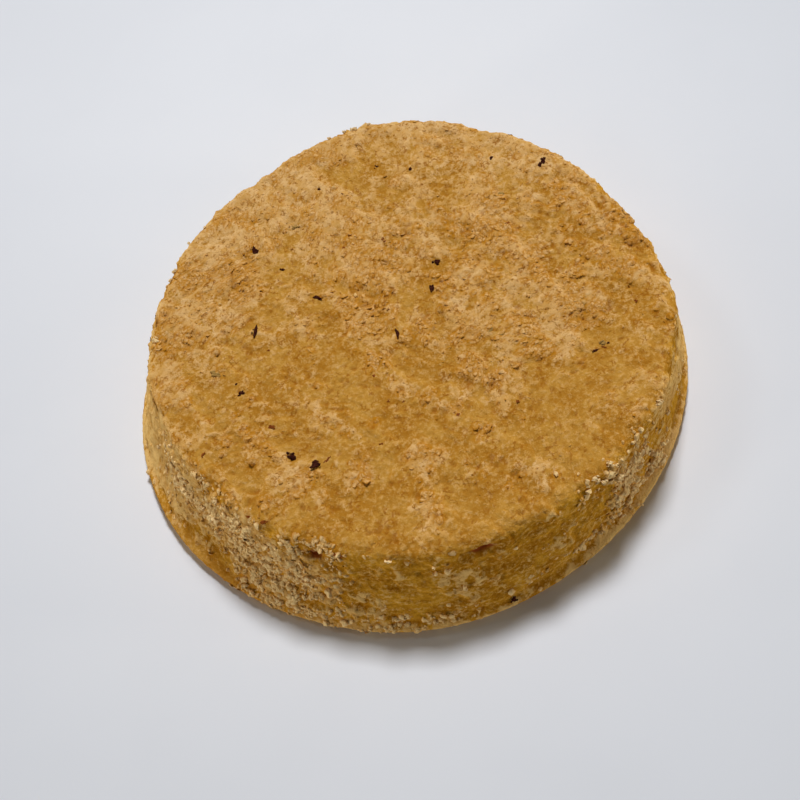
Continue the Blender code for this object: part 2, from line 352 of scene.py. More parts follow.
@dataclass(frozen=True)
class Relief:
    """What stands out from the plain form, in millimetres.

    The broad relief is the solid's own.  The sandy grain comes on top of it.
    """

    thickness: float
    noise_shift: np.ndarray = field(default_factory=lambda: np.array([31.7, -12.4, 8.9]))
    swell_size: float = 11.0
    swell_height: float = 0.2
    patch_size: float = 3.4
    patch_stretch: float = 1.7
    patch_direction: float = math.radians(-55)
    patch_edge: Span = (-0.12, 0.16)
    patch_layers: int = 3
    patch_rise: float = 0.2
    grain_size: float = 1.3
    grain_height: float = 0.1
    fade: Span = (0.7, 2.6)
    crease: Crease = Crease()
    crease_fade: float = 1.0
    cavities: tuple[Cavity, ...] = (
        Cavity(-122, 8.4, 0.8, 0.5, 0.5),
        Cavity(-85, 9.0, 1.5, 0.5, 0.55),
    )
    heaps: tuple[Heap, ...] = each(
        Heap,
        (-1.5, 8.0, 3.6, 0.34), (-3.5, 14.0, 3.4, 0.3), (1.5, 5.2, 2.2, 0.25), (-15.5, 10.0, 4.6, 0.22),
        (-19.0, 3.0, 3.6, 0.25), (-9.0, 17.5, 3.6, 0.2), (-2.8, 1.8, 1.5, 0.4), (8.0, 3.2, 2.0, 0.35),
        (13.0, 4.0, 1.8, 0.3), (4.5, 12.0, 2.0, 0.15), (15.5, -4.6, 2.2, 0.35), (-15.0, -6.5, 1.8, 0.25),
        (-0.1, -13.4, 1.7, 0.75), (-1.5, -18.2, 2.2, 1.0), (6.7, -18.2, 2.0, 0.7), (11.5, -13.5, 2.6, 0.4),
        (17.0, -11.5, 2.0, 0.2), (-8.4, -16.9, 2.0, 0.6), (-11.8, -11.9, 2.0, 0.5), (3.4, -15.6, 1.2, 0.5),
        (-2.0, -20.6, 1.4, 0.4), (9.2, -17.6, 1.4, 0.6), (-10.0, 6.0, 2.6, -0.3), (-5.5, 3.8, 2.0, -0.3),
        (-9.0, -5.0, 4.4, -0.3), (-14.5, -1.5, 2.4, -0.2), (1.8, -5.0, 2.2, -0.15), (5.3, -2.8, 1.7, 0.5),
        (8.6, -5.8, 2.6, 0.3), (4.9, -8.0, 2.2, 0.35), (8.3, -9.4, 1.8, 0.3), (12.4, -4.2, 1.8, 0.25),
        (2.4, -0.4, 1.4, 0.25), (1.4, -18.8, 1.6, -0.4), (-5.6, -19.2, 1.8, -0.3), (-3.0, -14.7, 1.0, -0.4),
        (17.0, 6.0, 4.4, -0.3), (9.5, 14.5, 3.2, -0.2), (5.5, 8.0, 1.8, -0.2), (14.2, 6.4, 1.6, -0.35),
        (16.4, 1.6, 1.6, -0.35), (10.8, 2.2, 1.2, -0.2), (19.0, -1.0, 2.0, -0.2), (1.0, -19.5, 9.0, -0.36),
        (0.0, 17.0, 9.0, -0.32), (15.0, 3.0, 8.0, 0.27), (15.0, -16.0, 7.0, -0.08),
        (-11.6, -14.8, 1.5, -0.35), (15.4, -4.1, 1.2, 0.25), (-5.5, -13.6, 1.3, 0.7),
        (-15.6, 4.3, 1.3, -0.25), (-12.2, 2.6, 1.3, -0.2),
    )
    # Floury drifts of the side.  The broad ones on the left at -178 and -147 and on the right at -20 are
    # made paler also as painted light, for the light that falls on those parts of the side.
    drifts: tuple[Drift, ...] = each(
        Drift,
        (-178, 24, 6.0, 9.0, 1.0), (-147, 20, 5.8, 3.6, 0.85), (-126, 14, 5.0, 2.6, 0.5),
        (-95, 14, 4.2, 1.6, 0.15), (-51, 5, 4.4, 1.3, 0.8), (-52, 7, 8.6, 1.4, 0.4),
        (-20, 22, 6.0, 8.0, 0.5), (95, 70, 6.0, 9.0, 0.75), (-52, 30, 1.15, 0.55, 1.4),
        (-116, 26, 1.15, 0.45, 0.8), (-150, 18, 1.3, 1.0, -0.6),
    )
    # Painted light: low bands near the foot, on the left and the right, show the top's colours in place of
    # the side's, standing in for light bounced up from the floor.
    bounce_glow_bands: tuple[Drift, ...] = each(
        Drift,
        (-150, 22, 1.1, 1.1, 1.0), (-30, 14, 1.0, 1.4, 0.6),
    )
    hollows: tuple[Drift, ...] = each(
        Drift,
        (-150, 30, 3.9, 2.2, 0.6), (-50, 32, 2.1, 0.8, 0.36), (-50, 22, 1.0, 0.8, -0.2),
        (-120, 10, 1.0, 1.0, 0.12), (-157, 12, 1.2, 1.0, -0.12), (115, 10, 9.4, 2.0, 0.2),
        (160, 8, 9.4, 2.0, 0.12), (54, 12, 9.4, 2.0, 0.16), (87.5, 1.6, 10.0, 0.7, -0.3),
        (83, 2.0, 10.0, 0.7, -0.4), (90.5, 1.2, 10.0, 0.7, -0.15),
    )
    calm_spots: tuple[Drift, ...] = each(
        Drift,
        (180, 14, 5.0, 6.0, 0.7), (-35, 9, 6.5, 3.6, 0.8), (-20, 14, 6.0, 5.0, 0.8),
        (-76, 12, 5.5, 3.0, 0.4), (-102, 10, 4.5, 2.4, 0.4),
    )

    def floury(self, places: np.ndarray) -> np.ndarray:
        """Read how floury the crust is.

        Args:
            places: Places of the plain form.

        Returns:
            A value for each place, above 0 on pale patches and below 0 between them.
        """
        turn = self.patch_direction
        along = np.array([math.cos(turn), math.sin(turn), 0.0])
        across = np.array([-math.sin(turn), math.cos(turn), 0.0])
        streaked = np.stack(
            [places @ along / self.patch_stretch, places @ across, places[:, 2]], axis=1
        )
        return layered_noise_at(streaked, self.patch_size, self.noise_shift, self.patch_layers)

    def broad(self, places: np.ndarray, floury: np.ndarray) -> np.ndarray:
        """Work out the relief that the solid has.

        Args:
            places: Places of the plain form.
            floury: How floury the crust is there.

        Returns:
            The height at each place, before the fade towards the foot.
        """
        swell = self.swell_height * noise_at(places, self.swell_size, self.noise_shift)
        patch = self.patch_rise * (smooth_step(*self.patch_edge, floury) - 0.5)
        grain = self.grain_height * noise_at(places, self.grain_size, -self.noise_shift)
        on_top = smooth_step(self.thickness - self.crease_fade, self.thickness, places[:, 2])
        crease = self.crease.height * self.crease.share(places) * on_top
        holes = sum(hole.depth * hole.share(places) for hole in self.cavities)
        return swell + patch + grain + crease - holes


@dataclass
class Looks:
    """What the crust looks like at many places, each value 0 to 1."""

    flour: np.ndarray
    pit: np.ndarray
    toast: np.ndarray
    side: np.ndarray
    under: np.ndarray
    # Painted shade round the foot of each lump and on its lower flank.
    gap: np.ndarray

    def at(self, rows: np.ndarray, weights: np.ndarray) -> "Looks":
        """Mix the looks of three places into one for each row of weights."""
        names = self.__dataclass_fields__
        return Looks(**{n: (getattr(self, n)[rows] * weights).sum(axis=1) for n in names})

    def store(self, mesh: bpy.types.Mesh) -> None:
        """Keep the looks as attributes of a mesh's points.

        Args:
            mesh: The mesh, with one point for each place.
        """
        for name in self.__dataclass_fields__:
            attribute = mesh.attributes.new(name, "FLOAT", "POINT")
            attribute.data.foreach_set("value", getattr(self, name).astype(np.float32))


@dataclass
class Skin:
    """The crust as built: its points, triangles and looks.

    Nearby is how far round a point its outward direction is taken.  The ring of painted
    shade round a lump lies between two distances from its middle, counted in the lump's
    size.
    """

    places: np.ndarray
    triangles: np.ndarray
    looks: Looks
    nearby: float = 0.6
    # Where the ring of painted shade round a lump lies, and how it rises and falls.
    gap: Span = (0.3, 0.75)
    gap_rise: float = 0.15
    gap_fall: float = 0.25
    gap_lumps: int = 3

    def corners(self) -> np.ndarray:
        """Return the three corners of every triangle."""
        return self.places[self.triangles]

    def middles(self) -> np.ndarray:
        """Return the middle of every triangle."""
        return self.corners().mean(axis=1)

    def nearest(self, place: np.ndarray) -> tuple[np.ndarray, np.ndarray]:
        """Find the skin's point nearest to a place.

        Args:
            place: The place.

        Returns:
            The point, and the outward direction round it.
        """
        point = np.argmin(((self.places - place) ** 2).sum(axis=1))
        apart = np.abs(self.places - self.places[point]).max(axis=1)
        near = (apart < self.nearby)[self.triangles].all(axis=1)
        outward = self.face_vectors()[near].sum(axis=0)
        return self.places[point], outward / np.linalg.norm(outward)

    def face_vectors(self) -> np.ndarray:
        """Return each triangle's outward direction, as long as twice its area."""
        first, second, third = np.moveaxis(self.corners(), 1, 0)
        return np.cross(second - first, third - first)

    def paint_gap_shade(self, lumps: "Lumps") -> None:
        """Paint shade into the narrow ring round the foot of each lump that lies on the skin.

        Args:
            lumps: Where the lumps lie.
        """
        start, end = self.gap
        tree = kdtree.KDTree(len(lumps.places))
        for index, place in enumerate(lumps.places):
            tree.insert(place, index)
        tree.balance()
        for point, place in enumerate(self.places):
            for _, index, distance in tree.find_n(place, self.gap_lumps):
                away = distance / lumps.sizes[index]
                if start < away < end:
                    near = min((away - start) / self.gap_rise, (end - away) / self.gap_fall, 1.0)
                    self.looks.gap[point] = max(self.looks.gap[point], near)


@dataclass
class Lumps:
    """Where lumps lie on the skin, and how: one row for each, in millimetres."""

    places: np.ndarray
    outward: np.ndarray
    sizes: np.ndarray
    sinks: np.ndarray
    looks: Looks


# --- The crust ------------------------------------------------------------------------


@dataclass(frozen=True)
class Zones:
    """How far each place belongs to a zone of the crust, 0 to 1 except near.

    Near is how far in front of the middle a place lies, in millimetres.  Calm is lower
    where the crust is smoother.
    """

    side: np.ndarray
    under: np.ndarray
    near: np.ndarray
    far: np.ndarray
    calm: np.ndarray


@dataclass(frozen=True)
class Strength:
    """How strong something is: on the plain crust, and what two of the zones add."""

    plain: float
    side: float = 0.0
    far: float = 0.0

    def at(self, zones: Zones) -> np.ndarray:
        """Return the strength at each place."""
        return self.plain + self.side * zones.side + self.far * zones.far


@dataclass(frozen=True)
class Texture:
    """The fine texture of each place: pebbles, sand, and streaks round the side."""

    pebbles: np.ndarray
    sand: np.ndarray
    streaks: np.ndarray


@dataclass
class Crust:
    """The cookie's own skin: a top, a side and a flat underside, in one closed mesh.

    Sizes and heights are in millimetres.  An edge is where something starts and where
    it is full, and a band is a middle height and a spread.  A value that ends in near
    counts for each millimetre in front of the middle.
    """

    form: CookieForm
    relief: Relief
    top_cells: int = 192
    shoulder_rows: int = 11
    wall_rows: int = 50
    foot_rows: int = 9
    underside_rings: int = 7
    side_slopes: Span = (0.35, 0.97)
    under_slope: float = -0.99
    far_edge: Span = (6.0, 18.0)
    most_calm: float = 0.8
    pebble_size: float = 0.62
    pebble_level: float = 0.6
    pebble_height: float = 0.12
    sand_size: float = 0.42
    sand_height: float = 0.11
    streak_size: float = 0.6
    streak_turn: float = 3.5
    streak_height: float = 0.05
    roughness: Strength = Strength(1.0, side=0.3, far=-0.6)
    roughness_level: float = 0.75
    roughness_flour: float = 0.3
    ragged_size: float = 1.15
    ragged: Strength = Strength(0.6, side=0.3)
    ragged_sand: Strength = Strength(0.4, side=0.3)
    ragged_pebbles: Strength = Strength(0.3, side=0.4)
    ragged_streaks: float = 0.35
    ragged_far: Strength = Strength(1.0, far=-0.45)
    flour_swell: float = 0.5
    flour_swell_near: float = 0.014
    # Painted light: more flour towards the back of the top, so it is paler at the back and darker at the
    # front, as where the lamp's light falls off.
    painted_light_far: float = 0.022
    bare_side: float = 0.45
    flour_edge: Span = (-0.32, 0.42)
    flour_contrast: Strength = Strength(1.0, side=0.3)
    flour_rise: float = 0.12
    flour_rise_share: Strength = Strength(1.0, side=-0.4)
    crease_flour: float = 0.85
    pit_size: float = 0.85
    pit_edge: Span = (0.34, 0.46)
    pit_flour: float = 0.12
    pit_near: float = 0.004
    pit_far: float = 0.05
    pit_break_size: float = 0.45
    pit_break: Span = (0.0, 0.25)
    pit_side_share: Strength = Strength(1.0, side=-0.6)
    pit_far_share: Strength = Strength(1.0, far=-0.6)
    pit_depth: float = 0.12
    toast_edge: Span = (0.35, 0.8)
    lip_height: float = 0.36
    lip_band: Span = (0.7, 0.45)
    lip_slopes: Span = (-0.6, 0.1)
    lip_sand: float = 0.3
    lip_pebbles: float = 0.35
    groove_depth: float = 0.2
    groove_band: Span = (1.8, 0.5)

    def lay_out(self) -> tuple[Skin, list]:
        """Work out the crust.

        Returns:
            The skin that crumbs are then laid on, in millimetres, and its faces.
        """
        grid, ring, angles, shares = self.top_grid()
        top, top_out = self.form.top_face(angles, shares)
        ring_angles = angles[ring]
        runs = self.row_runs()
        column = len(ring)
        side, side_out = self.form.side(np.tile(ring_angles, len(runs)), np.repeat(runs, column))
        last = side[-column:]
        shrink = np.linspace(1.0, 0.0, self.underside_rings + 1)[1:-1]
        under = np.concatenate([last * share for share in shrink] + [np.zeros((1, 3))])
        under[:, 2] = 0.0

        places = np.concatenate([top, side, under])
        outward = np.concatenate([top_out, side_out, np.tile([0.0, 0.0, -1.0], (len(under), 1))])
        looks, height = self.dress(places, outward)
        places = places + outward * height[:, None]

        ring_count = len(runs) + len(shrink)
        rings = np.concatenate([ring[None], len(top) + np.arange(ring_count * column).reshape(-1, column)])
        quads = np.concatenate([grid, self.bands(rings)])
        centre = np.full(column, len(places) - 1)
        fan = np.stack([rings[-1], centre, np.roll(rings[-1], -1)], axis=1)
        skin = Skin(places, np.concatenate([quads[:, :3], quads[:, [0, 2, 3]], fan]), looks)
        return skin, quads.tolist() + fan.tolist()

    def row_runs(self) -> np.ndarray:
        """Lay out the rows of points down the side.

        Returns:
            How far down the side each row lies.
        """
        counts = (self.shoulder_rows, self.wall_rows, self.foot_rows)
        return np.concatenate([part + np.arange(1, n + 1) / n for part, n in enumerate(counts)])

    def top_grid(self) -> tuple[np.ndarray, np.ndarray, np.ndarray, np.ndarray]:
        """Draw a square grid out to a disc.

        Returns:
            The quads, the points round the rim in order, and each point's angle and
            share of the disc's radius.
        """
        count = self.top_cells
        line = np.linspace(-1.0, 1.0, count + 1)
        x, y = (axis.ravel() for axis in np.meshgrid(line, line))
        share = np.maximum(np.abs(x), np.abs(y))
        divisor = np.where(share > 0.0, share, 1.0)
        wide = np.abs(x) >= np.abs(y)
        level = math.pi / 4 * y / divisor * np.sign(x) + np.where(x < 0, math.pi, 0.0)
        upright = math.pi / 2 - math.pi / 4 * x / divisor * np.sign(y) + np.where(y < 0, math.pi, 0.0)
        angles = np.where(wide, level, upright)

        index = np.arange((count + 1) ** 2).reshape(count + 1, count + 1)
        corners = index[:-1, :-1], index[:-1, 1:], index[1:, 1:], index[1:, :-1]
        grid = np.stack([corner.ravel() for corner in corners], axis=1)
        edges = index[0, :-1], index[:-1, -1], index[-1, :0:-1], index[:0:-1, 0]
        return grid, np.concatenate(edges), angles, share

    @staticmethod
    def bands(rings: np.ndarray) -> np.ndarray:
        """Join each ring of points to the next one below it.

        Args:
            rings: The points of each ring, one row each.

        Returns:
            The quads between them.
        """
        upper, lower = rings[:-1], rings[1:]
        corners = upper, lower, np.roll(lower, -1, axis=1), np.roll(upper, -1, axis=1)
        return np.stack([corner.ravel() for corner in corners], axis=1)

    def dress(self, places: np.ndarray, outward: np.ndarray) -> tuple[Looks, np.ndarray]:
        """Work out the crust's looks and its relief.

        Args:
            places: Places of the plain form.
            outward: The outward direction at each.

        Returns:
            The looks, and how far each place stands out from the plain form.
        """
        zones = self.zones_at(places, outward)
        texture = self.texture_at(places, zones)
        floury = self.relief.floury(places)
        flour = self.flour_at(places, zones, texture, floury)
        pit = self.pits_at(places, zones, flour)
        toast = smooth_step(*self.toast_edge, summed(self.relief.cavities, places))
        # Painted bounce light: in these bands the side's colours give way to the top's.
        bounce_glow = np.clip(summed(self.relief.bounce_glow_bands, places), 0.0, 1.0)

        rough = (self.roughness_level + self.roughness_flour * flour) * self.roughness.at(zones) * zones.calm
        height = self.relief.broad(places, floury)
        height += self.pebble_height * texture.pebbles * rough + self.sand_height * texture.sand * rough
        height += self.flour_rise * (flour - 0.5) * self.flour_rise_share.at(zones)
        height += self.streak_height * texture.streaks * zones.calm - self.pit_depth * pit
        height *= smooth_step(*self.relief.fade, places[:, 2])
        height -= summed(self.relief.hollows, places) * zones.side
        height += self.foot_edge(places, outward, texture) * zones.side
        shown = zones.side * (1.0 - bounce_glow)
        return Looks(flour, pit, toast, shown, zones.under, np.zeros(len(places))), height

    def zones_at(self, places: np.ndarray, outward: np.ndarray) -> Zones:
        """Tell the zones of the crust apart.

        Args:
            places: Places of the plain form.
            outward: The outward direction at each.

        Returns:
            How far each place belongs to each zone.
        """
        side = 1.0 - smooth_step(*self.side_slopes, outward[:, 2])
        return Zones(
            side=side,
            under=(outward[:, 2] < self.under_slope).astype(float),
            near=np.clip(-places[:, 1], 0.0, None),
            far=smooth_step(*self.far_edge, places[:, 1]) * (1.0 - side),
            calm=1.0 - np.clip(summed(self.relief.calm_spots, places), 0.0, self.most_calm),
        )

    def texture_at(self, places: np.ndarray, zones: Zones) -> Texture:
        """Read the fine texture.

        Args:
            places: Places of the plain form.
            zones: The zones that they lie in.

        Returns:
            The texture, each part of it about 0 in the mean.
        """
        shift = self.relief.noise_shift
        pebbles = pebbles_at(places, self.pebble_size, shift) - self.pebble_level
        sand = noise_at(places, self.sand_size, -shift * 3)
        around = unit(places[:, :2] + 1e-6) * self.streak_turn
        drawn_out = np.concatenate([around, places[:, 2:]], axis=1)
        streaks = noise_at(drawn_out, self.streak_size, shift * 4)
        return Texture(pebbles, sand, streaks * zones.side)

    def flour_at(
        self, places: np.ndarray, zones: Zones, texture: Texture, floury: np.ndarray
    ) -> np.ndarray:
        """Work out how floury the crust shows.

        Args:
            places: Places of the plain form.
            zones: The zones that they lie in.
            texture: The fine texture there.
            floury: How floury the solid's patches are there.

        Returns:
            A value for each place, 0 to 1.
        """
        top = 1.0 - zones.side
        swell = self.flour_swell + self.flour_swell_near * zones.near
        # The far term is painted light: paler towards the back, darker towards the front.
        broad = swell * floury + self.painted_light_far * places[:, 1] * top
        for heap in self.relief.heaps:
            broad = broad + heap.share(places) * top
        broad = broad + (summed(self.relief.drifts, places) - self.bare_side) * zones.side
        ragged = noise_at(places, self.ragged_size, self.relief.noise_shift * 2) * self.ragged.at(zones)
        ragged += self.ragged_sand.at(zones) * texture.sand + self.ragged_pebbles.at(zones) * texture.pebbles
        ragged = (ragged + self.ragged_streaks * texture.streaks) * zones.calm * self.ragged_far.at(zones)
        flour = smooth_step(*self.flour_edge, (broad + ragged) * self.flour_contrast.at(zones))
        flour += self.crease_flour * self.relief.crease.share(places) * top
        return np.clip(flour, 0.0, 1.0) * (1.0 - zones.under)

    def pits_at(self, places: np.ndarray, zones: Zones, flour: np.ndarray) -> np.ndarray:
        """Work out where small pits lie.

        Args:
            places: Places of the plain form.
            zones: The zones that they lie in.
            flour: How floury the crust shows there.

        Returns:
            A value for each place, 1 in a pit and 0 outside.
        """
        shift = self.relief.noise_shift
        hollow = noise_at(places, self.pit_size, shift * 5) - self.pit_flour * flour
        hollow = hollow + self.pit_near * zones.near - self.pit_far * zones.far
        broken = smooth_step(*self.pit_break, noise_at(places, self.pit_break_size, shift * 7))
        pit = smooth_step(*self.pit_edge, hollow)
        pit *= broken * self.pit_side_share.at(zones)
        return pit * self.pit_far_share.at(zones)

    def foot_edge(self, places: np.ndarray, outward: np.ndarray, texture: Texture) -> np.ndarray:
        """Shape the small uneven lip round the foot, and the groove above it.

        Args:
            places: Places of the plain form.
            outward: The outward direction at each.
            texture: The fine texture there.

        Returns:
            The height at each place.
        """
        lip = band_at(places[:, 2], *self.lip_band) * smooth_step(*self.lip_slopes, outward[:, 2])
        lip *= 1.0 + self.lip_sand * texture.sand + self.lip_pebbles * texture.pebbles
        return self.lip_height * lip - self.groove_depth * band_at(places[:, 2], *self.groove_band)


def new_object(name: str, places: np.ndarray, faces: list, looks: Looks | None) -> bpy.types.Object:
    """Make a mesh object.

    Args:
        name: The object's name.
        places: Its points, in millimetres.
        faces: The points of each face.
        looks: What its points look like, if the finish reads that.

    Returns:
        The object, linked to the scene and shaded smooth.
    """
    mesh = bpy.data.meshes.new(name)
    mesh.from_pydata((places * METRES).tolist(), [], faces)
    mesh.validate()
    if looks is not None:
        looks.store(mesh)
    mesh.shade_smooth()
    made = bpy.data.objects.new(name, mesh)
    bpy.context.scene.collection.objects.link(made)
    return made


# --- Grains, crumbs and flecks --------------------------------------------------------


@dataclass(frozen=True)
class Shapes:
    """A few angular lumps, each the hull of some scattered points, about 1 across.

    Caps are the upper parts of such lumps, for what is half buried in the crust.
    """

    kinds: int
    corners: int
    seed: int
    caps: bool = False
    reach: Span = (0.36, 0.56)
    cap_slope: float = -0.1

    def lumps(self) -> list[tuple[np.ndarray, np.ndarray]]:
        """Return the points and triangles of each lump."""
        draw = np.random.default_rng(self.seed)
        return [self.lump(draw) for _ in range(self.kinds)]

    def lump(self, draw: np.random.Generator) -> tuple[np.ndarray, np.ndarray]:
        """Make one lump.

        Args:
            draw: The source of chance.

        Returns:
            Its points and triangles.
        """
        spots = draw.normal(size=(self.corners, 3))
        spots *= draw.uniform(*self.reach, (self.corners, 1)) / np.linalg.norm(spots, axis=1)[:, None]
        hull = bmesh.new()
        for spot in spots:
            hull.verts.new(spot)
        made = bmesh.ops.convex_hull(hull, input=hull.verts)
        bmesh.ops.delete(hull, geom=made["geom_interior"], context="VERTS")
        bmesh.ops.triangulate(hull, faces=hull.faces)
        bmesh.ops.recalc_face_normals(hull, faces=hull.faces)
        hull.verts.index_update()
        hull.normal_update()
        points = np.array([vertex.co for vertex in hull.verts])
        kept = [face for face in hull.faces if not self.caps or face.normal.z > self.cap_slope]
        faces = np.array([[vertex.index for vertex in face.verts] for face in kept])
        hull.free()
        used, faces = np.unique(faces, return_inverse=True)
        return points[used], faces.reshape(-1, 3)


def turns_about(outward: np.ndarray, tilt: float, draw: np.random.Generator) -> np.ndarray:
    """Return a matrix for each lump that lays it down on its spot.

    Args:
        outward: The outward direction at each spot.
        tilt: How far from lying flat a lump may be, where 0 is not at all.
        draw: The source of chance.

    Returns:
        Matrices whose third column is roughly outward.
    """
    upward = unit(outward + tilt * draw.normal(size=outward.shape))
    along = unit(np.cross(upward, draw.normal(size=outward.shape)))
    return np.stack([along, np.cross(upward, along), upward], axis=2)


@dataclass
class Scatter:
    """Small lumps laid on the crust by chance, as one joined mesh."""

    name: str
    count: int
    sizes: Span
    shapes: Shapes
    density: Callable[[np.ndarray, Looks], np.ndarray]
    seed: int
    sink: Span = (0.1, 0.35)
    flatness: Span = (0.7, 1.1)
    stretch: Span = (0.65, 1.3)
    tilt: float = 0.35
    flour_shift: Span = (-0.2, 0.2)
    # How far up a lump its painted shade reaches, in shares of its height.
    foot: Span = (0.0, 0.65)
    rounded: bool = True
    # Whether the crust gets a ring of painted shade round each lump.
    outlined: bool = True
    turning_seed: int = 100

    def lay(self, skin: Skin) -> Lumps:
        """Choose where the lumps lie.

        Args:
            skin: The crust.

        Returns:
            The lumps.
        """
        draw = np.random.default_rng(self.seed)
        vectors = skin.face_vectors()
        areas = np.linalg.norm(vectors, axis=1)
        middles = skin.middles()
        thirds = np.full((len(middles), 3), 1 / 3)
        weights = areas * self.density(middles, skin.looks.at(skin.triangles, thirds))
        faces = draw.choice(len(areas), self.count, p=weights / weights.sum())
        shares = draw.dirichlet((1.0, 1.0, 1.0), self.count)
        spots = (skin.corners()[faces] * shares[:, :, None]).sum(axis=1)
        outward = vectors[faces] / areas[faces, None]
        sizes = self.sizes[0] + (self.sizes[1] - self.sizes[0]) * draw.random(self.count) ** 2
        sinks = sizes * draw.uniform(*self.sink, self.count)
        looks = skin.looks.at(skin.triangles[faces], shares)
        looks.flour = np.clip(looks.flour + draw.uniform(*self.flour_shift, self.count), 0.0, 1.0)
        return Lumps(spots, outward, sizes, sinks, looks)

    def join(self, laid: Lumps) -> bpy.types.Object:
        """Join all the lumps into one object.

        Args:
            laid: Where they lie.

        Returns:
            The object.
        """
        draw = np.random.default_rng(self.seed + self.turning_seed)
        lumps = self.shapes.lumps()
        count = len(laid.places)
        turns = turns_about(laid.outward, self.tilt, draw)
        kinds = draw.integers(len(lumps), size=count)
        stretch = draw.uniform(*self.stretch, (count, 1, 3))
        stretch[:, 0, 2] = draw.uniform(*self.flatness, count)
        places, faces, owners, crowns = [], [], [], []
        start = 0
        for kind, (points, triangles) in enumerate(lumps):
            chosen = np.flatnonzero(kinds == kind)
            outward = laid.outward[chosen]
            sinks = laid.sinks[chosen, None]
            shaped = points[None] * stretch[chosen] * laid.sizes[chosen, None, None]
            turned = np.einsum("nij,nkj->nki", turns[chosen], shaped)
            above = np.einsum("nki,ni->nk", turned, outward) - sinks
            crowns.append((above / above.max(axis=1, keepdims=True)).ravel())
            lowered = laid.places[chosen] - outward * sinks
            places.append((turned + lowered[:, None]).reshape(-1, 3))
            offsets = start + np.arange(len(chosen)) * len(points)
            faces.append((triangles[None] + offsets[:, None, None]).reshape(-1, 3))
            owners.append(np.repeat(chosen, len(points)))
            start += len(chosen) * len(points)
        owner = np.concatenate(owners)[:, None]
        worn = laid.looks.at(owner, np.ones((len(owner), 1)))
        # Painted shade: each lump's lower flank takes the shade colour, fading out towards its crown.
        worn.gap = 1.0 - smooth_step(*self.foot, np.concatenate(crowns))
        joined = np.concatenate(places)
        joined[:, 2] = np.maximum(joined[:, 2], 0.0)
        made = new_object(self.name, joined, np.concatenate(faces).tolist(), worn)
        if not self.rounded:
            made.data.shade_flat()
        return made


class FleckKind(Enum):
    """What a fleck is made of: the look of its finish."""

    CHARRED = "charred"
    TOASTED = "toasted"
    FAINT = "faint"
    PALE = "pale"


@dataclass(frozen=True)
class Fleck:
    """A chip lying in the crust: its place, length and width, and its direction in degrees.

    Height is a share of its narrower side, and lift a share of its height.  It breaks
    into one main bit and a few about it, more of them where it is long.
    """

    place: Place
    length: float
    width: float
    direction: float = 0.0
    kind: FleckKind = FleckKind.CHARRED
    height: float = 0.45
    lift: float = 0.2
    main_bit: float = 0.9
    more_bits: Span = (0.3, 0.65)
    long_from: float = 0.55
    bits_if_long: int = 6
    bits_if_short: int = 3
    scatter: Span = (0.45, 0.5)

    def chips(self, skin: Skin, draw: np.random.Generator) -> list[np.ndarray]:
        """Break the fleck into a few ragged bits.

        Args:
            skin: The crust it lies in.
            draw: The source of chance.

        Returns:
            A matrix for each bit, from a lump about 1 across to its place.
        """
        spot, outward = skin.nearest(np.array(self.place))
        turn = math.radians(self.direction)
        lengthwise = np.array([math.cos(turn), math.sin(turn), 0.0])
        across = np.cross(outward, lengthwise)
        across /= np.linalg.norm(across)
        lengthwise = np.cross(across, outward)
        axes = np.stack([lengthwise * self.length, across * self.width, outward])
        bits = [self.bit(spot, axes, self.main_bit)]
        along, aside = self.scatter
        for _ in range(self.bits_if_long if self.length > self.long_from else self.bits_if_short):
            away = lengthwise * draw.uniform(-along, along) * self.length
            away = away + across * draw.uniform(-aside, aside) * self.width
            bits.append(self.bit(spot + away, axes, draw.uniform(*self.more_bits)))
        return bits

    def bit(self, spot: np.ndarray, axes: np.ndarray, scale: float) -> np.ndarray:
        """Work out where one bit lies.

        Args:
            spot: The place on the crust under its middle.
            axes: The fleck's length, its width and the outward direction, one row each.
            scale: How large the bit is, beside the fleck.

        Returns:
            The bit's scaled axes and its middle, as the columns of a matrix.
        """
        high = self.height * min(self.length, self.width)
        lengthwise, across, outward = axes
        middle = spot + outward * self.lift * high
        return np.stack([lengthwise * scale, across * scale, outward * high, middle], axis=1)


@dataclass
class FleckSet:
    """All flecks of one kind, as one joined mesh."""

    kind: FleckKind
    flecks: tuple[Fleck, ...]
    shapes: Shapes = Shapes(kinds=9, corners=14, seed=8)
    seed: int = 21

    def build(self, skin: Skin) -> bpy.types.Object:
        """Lay the flecks in the skin.

        Args:
            skin: The crust.

        Returns:
            The object.
        """
        draw = np.random.default_rng(self.seed)
        lumps = self.shapes.lumps()
        places, faces = [], []
        start = 0
        for fleck in self.flecks:
            for chip in fleck.chips(skin, draw) if fleck.kind is self.kind else ():
                points, triangles = lumps[draw.integers(len(lumps))]
                places.append(points @ chip[:, :3].T + chip[:, 3])
                faces += (triangles + start).tolist()
                start += len(points)
        made = new_object(f"{self.kind.value}_flecks", np.concatenate(places), faces, None)
        made.data.shade_flat()
        return made


def on_top(x: float, y: float) -> Place:
    """Return a place on the top."""
    return x, y, TOP_HEIGHT


def on_side(direction: float, height: float) -> Place:
    """Find a place on the side.

    Args:
        direction: Where round the cookie it is, in degrees.
        height: How high above the floor it is.

    Returns:
        The place.
    """
    along, across = math.cos(math.radians(direction)), math.sin(math.radians(direction))
    lean = SIDE_SHIFT[0] * along + SIDE_SHIFT[1] * across - SIDE_LEAN
    reach = SIDE_REACH + height * lean
    return reach * along, reach * across, height


def lying(kind: FleckKind, where: Callable[[float, float], Place], *rows: Row) -> tuple[Fleck, ...]:
    """Make flecks of one kind.

    Args:
        kind: Their kind.
        where: What turns the first two values of a row into a place.
        *rows: Those two values, the length and width, and the direction if it matters.

    Returns:
        The flecks.
    """
    return tuple(Fleck(where(*row[:2]), *row[2:], kind=kind) for row in rows)


# --- Finishes -------------------------------------------------------------------------


